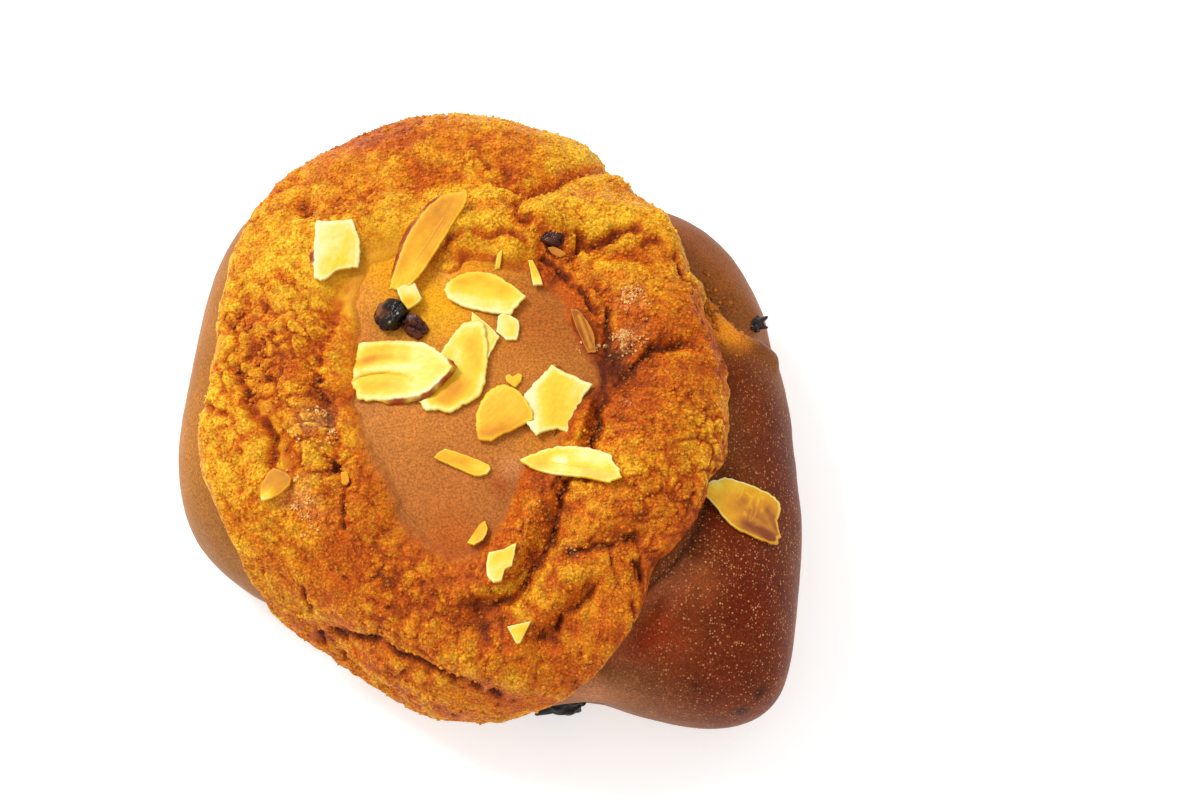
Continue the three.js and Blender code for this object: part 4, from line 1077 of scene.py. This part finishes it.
# Sliced almond: waxy, pale nut flesh with a satin face, golden where it toasted, dark at its skin.
FLECK = 0.9
almond_material, tree = new_material("toasted_almond_flesh")
coordinates = add_node(tree, "ShaderNodeTexCoord").outputs["Object"]
fleck = speckle(tree, coordinates, FLECK, 3.0, 0.55)
tint = remap(tree, fleck, 0.3, 0.7, 0.93, 1.05)
flesh = combine(tree, "MULTIPLY", stored(tree, "bake"), tint, "ShaderNodeVectorMath")
bump = add_node(tree, "ShaderNodeBump", {"Height": fleck}, {"Strength": 0.25, "Distance": 0.0001})
dress(None, almond_material, {"Base Color": flesh, "Normal": bump.outputs["Normal"]},
      {"Roughness": 0.35, "Specular IOR Level": 0.2, "Subsurface Weight": 0.1,
       "Subsurface Scale": 0.0006})

bread_tree = tree_of(bread)
trees = [bread_tree, tree_of(crust)] + [tree_of(raisin) for raisin in raisins]
for number, (node, (toast, curl, fold, toasted, skinned)) in enumerate(ALMONDS.items()):
    outline, plane = slice_outline(node)
    crease = np.array([(x, y, 0) for x, y in ALMOND_CREASES[node]]) if node in ALMOND_CREASES else None
    points, place, out, fibre = slice_surface(outline, plane, curl, fold, skinned, crease,
                                              ALMOND_WRINKLES.get(node), SLICE_GRID, 300 + 10 * number)
    underside = points[-SLICE_GRID[0] // 3:, ::6].reshape(-1, 3)
    ground = ground_under(underside, [bread_tree] if node == TUCKED_SLICE else trees)
    points[..., 2] -= np.percentile(underside[:, 2] - ground, BURIED_SHARE)
    colour = almond_colour(place, out, fibre, toast, toasted, skinned, crease,
                           ALMOND_RIMS.get(node, RIM), 400 + 2 * number)
    almond = make_surface(node + "_slice", points, {"bake": colour})
    almond.data.materials.append(almond_material)
    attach(almond, "root")
    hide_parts(node)
    if node != TUCKED_SLICE:
        trees.append(tree_of(almond))

for number, (name, (toast, skinned, corners)) in enumerate(ALMOND_CHIPS.items()):
    outline = np.array(corners)
    felt = resample(outline, CHIP_FEELERS)
    heights = ground_under(np.column_stack([felt, felt[:, 0] * 0]), trees)
    rows = np.column_stack([np.ones(CHIP_FEELERS), felt])
    plane = np.linalg.lstsq(rows, heights, rcond=None)[0]
    points, place, out, fibre = slice_surface(outline, plane, 0.0, 0.0, skinned, None, None, CHIP_GRID,
                                              600 + 10 * number)
    points[..., 2] += CHIP_RISE * SLICE_THICKNESS
    colour = almond_colour(place, out, fibre, toast, [], skinned, None, RIM, 650 + 2 * number)
    chip = make_surface(name, points, {"bake": colour})
    chip.data.materials.append(almond_material)
    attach(chip, "root")

# ------------------------------------------------------------------------------------------------
# Studio
# A plain pale table under a wide soft light, with a long lens from above the front.
# ------------------------------------------------------------------------------------------------

FLOOR_REACH = 2.0  # this section is in metres
FLOOR_HEIGHT = -0.0003  # clear of the bun's base
KEY_PLACE = (-0.62, 0.42, 0.95)
KEY_SIZE = 0.4
KEY_POWER = 9.0
ELEVATION = np.radians(66)
DISTANCE = 0.700
POINTS_PER_MM = 5.15  # of an image 1200 points wide, at the bun
FIELD_WIDTH = 1.2 / POINTS_PER_MM
AIM_RIGHT = 0.110 / POINTS_PER_MM
AIM_UP = 0.022 / POINTS_PER_MM
AIM_HEIGHT = 0.020
SENSOR = 36.0

floor_mesh = bpy.data.meshes.new("floor")
floor_corners = [(x * FLOOR_REACH, y * FLOOR_REACH, FLOOR_HEIGHT)
                 for x, y in ((-1, -1), (1, -1), (1, 1), (-1, 1))]
floor_mesh.from_pydata(floor_corners, [], [(0, 1, 2, 3)])
floor = bpy.data.objects.new("floor", floor_mesh)
bpy.context.scene.collection.objects.link(floor)

# White card: matt paper, and a glow that stands for the light it gets from all round.
floor_material, tree = new_material("white_card")
dress(floor, floor_material, None, {"Base Color": (0.75, 0.75, 0.75, 1), "Roughness": 0.9,
                                    "Emission Color": (1, 1, 1, 1), "Emission Strength": 0.55})

world = bpy.data.worlds.new("studio")
bpy.context.scene.world = world
world.use_nodes = True
world.node_tree.nodes["Background"].inputs["Color"].default_value = (1.0, 0.99, 0.97, 1)
world.node_tree.nodes["Background"].inputs["Strength"].default_value = 0.74

key = bpy.data.lights.new("key_softbox", "AREA")
key.size = KEY_SIZE
key.energy = KEY_POWER
lamp = bpy.data.objects.new("key_softbox", key)
lamp.location = KEY_PLACE
lamp.rotation_euler = (-Vector(KEY_PLACE)).to_track_quat("-Z", "Y").to_euler()
bpy.context.scene.collection.objects.link(lamp)

aim = Vector((AIM_RIGHT, 0, AIM_HEIGHT)) + Vector((0, np.sin(ELEVATION), np.cos(ELEVATION))) * AIM_UP
camera_data = bpy.data.cameras.new("camera")
camera_data.sensor_width = SENSOR
camera_data.lens = SENSOR * DISTANCE / FIELD_WIDTH
camera = bpy.data.objects.new("camera", camera_data)
camera.location = aim + Vector((0, -np.cos(ELEVATION), np.sin(ELEVATION))) * DISTANCE
camera.rotation_euler = (np.pi / 2 - ELEVATION, 0, 0)
bpy.context.scene.collection.objects.link(camera)
bpy.context.scene.camera = camera
bpy.context.scene.view_settings.view_transform = "Standard"
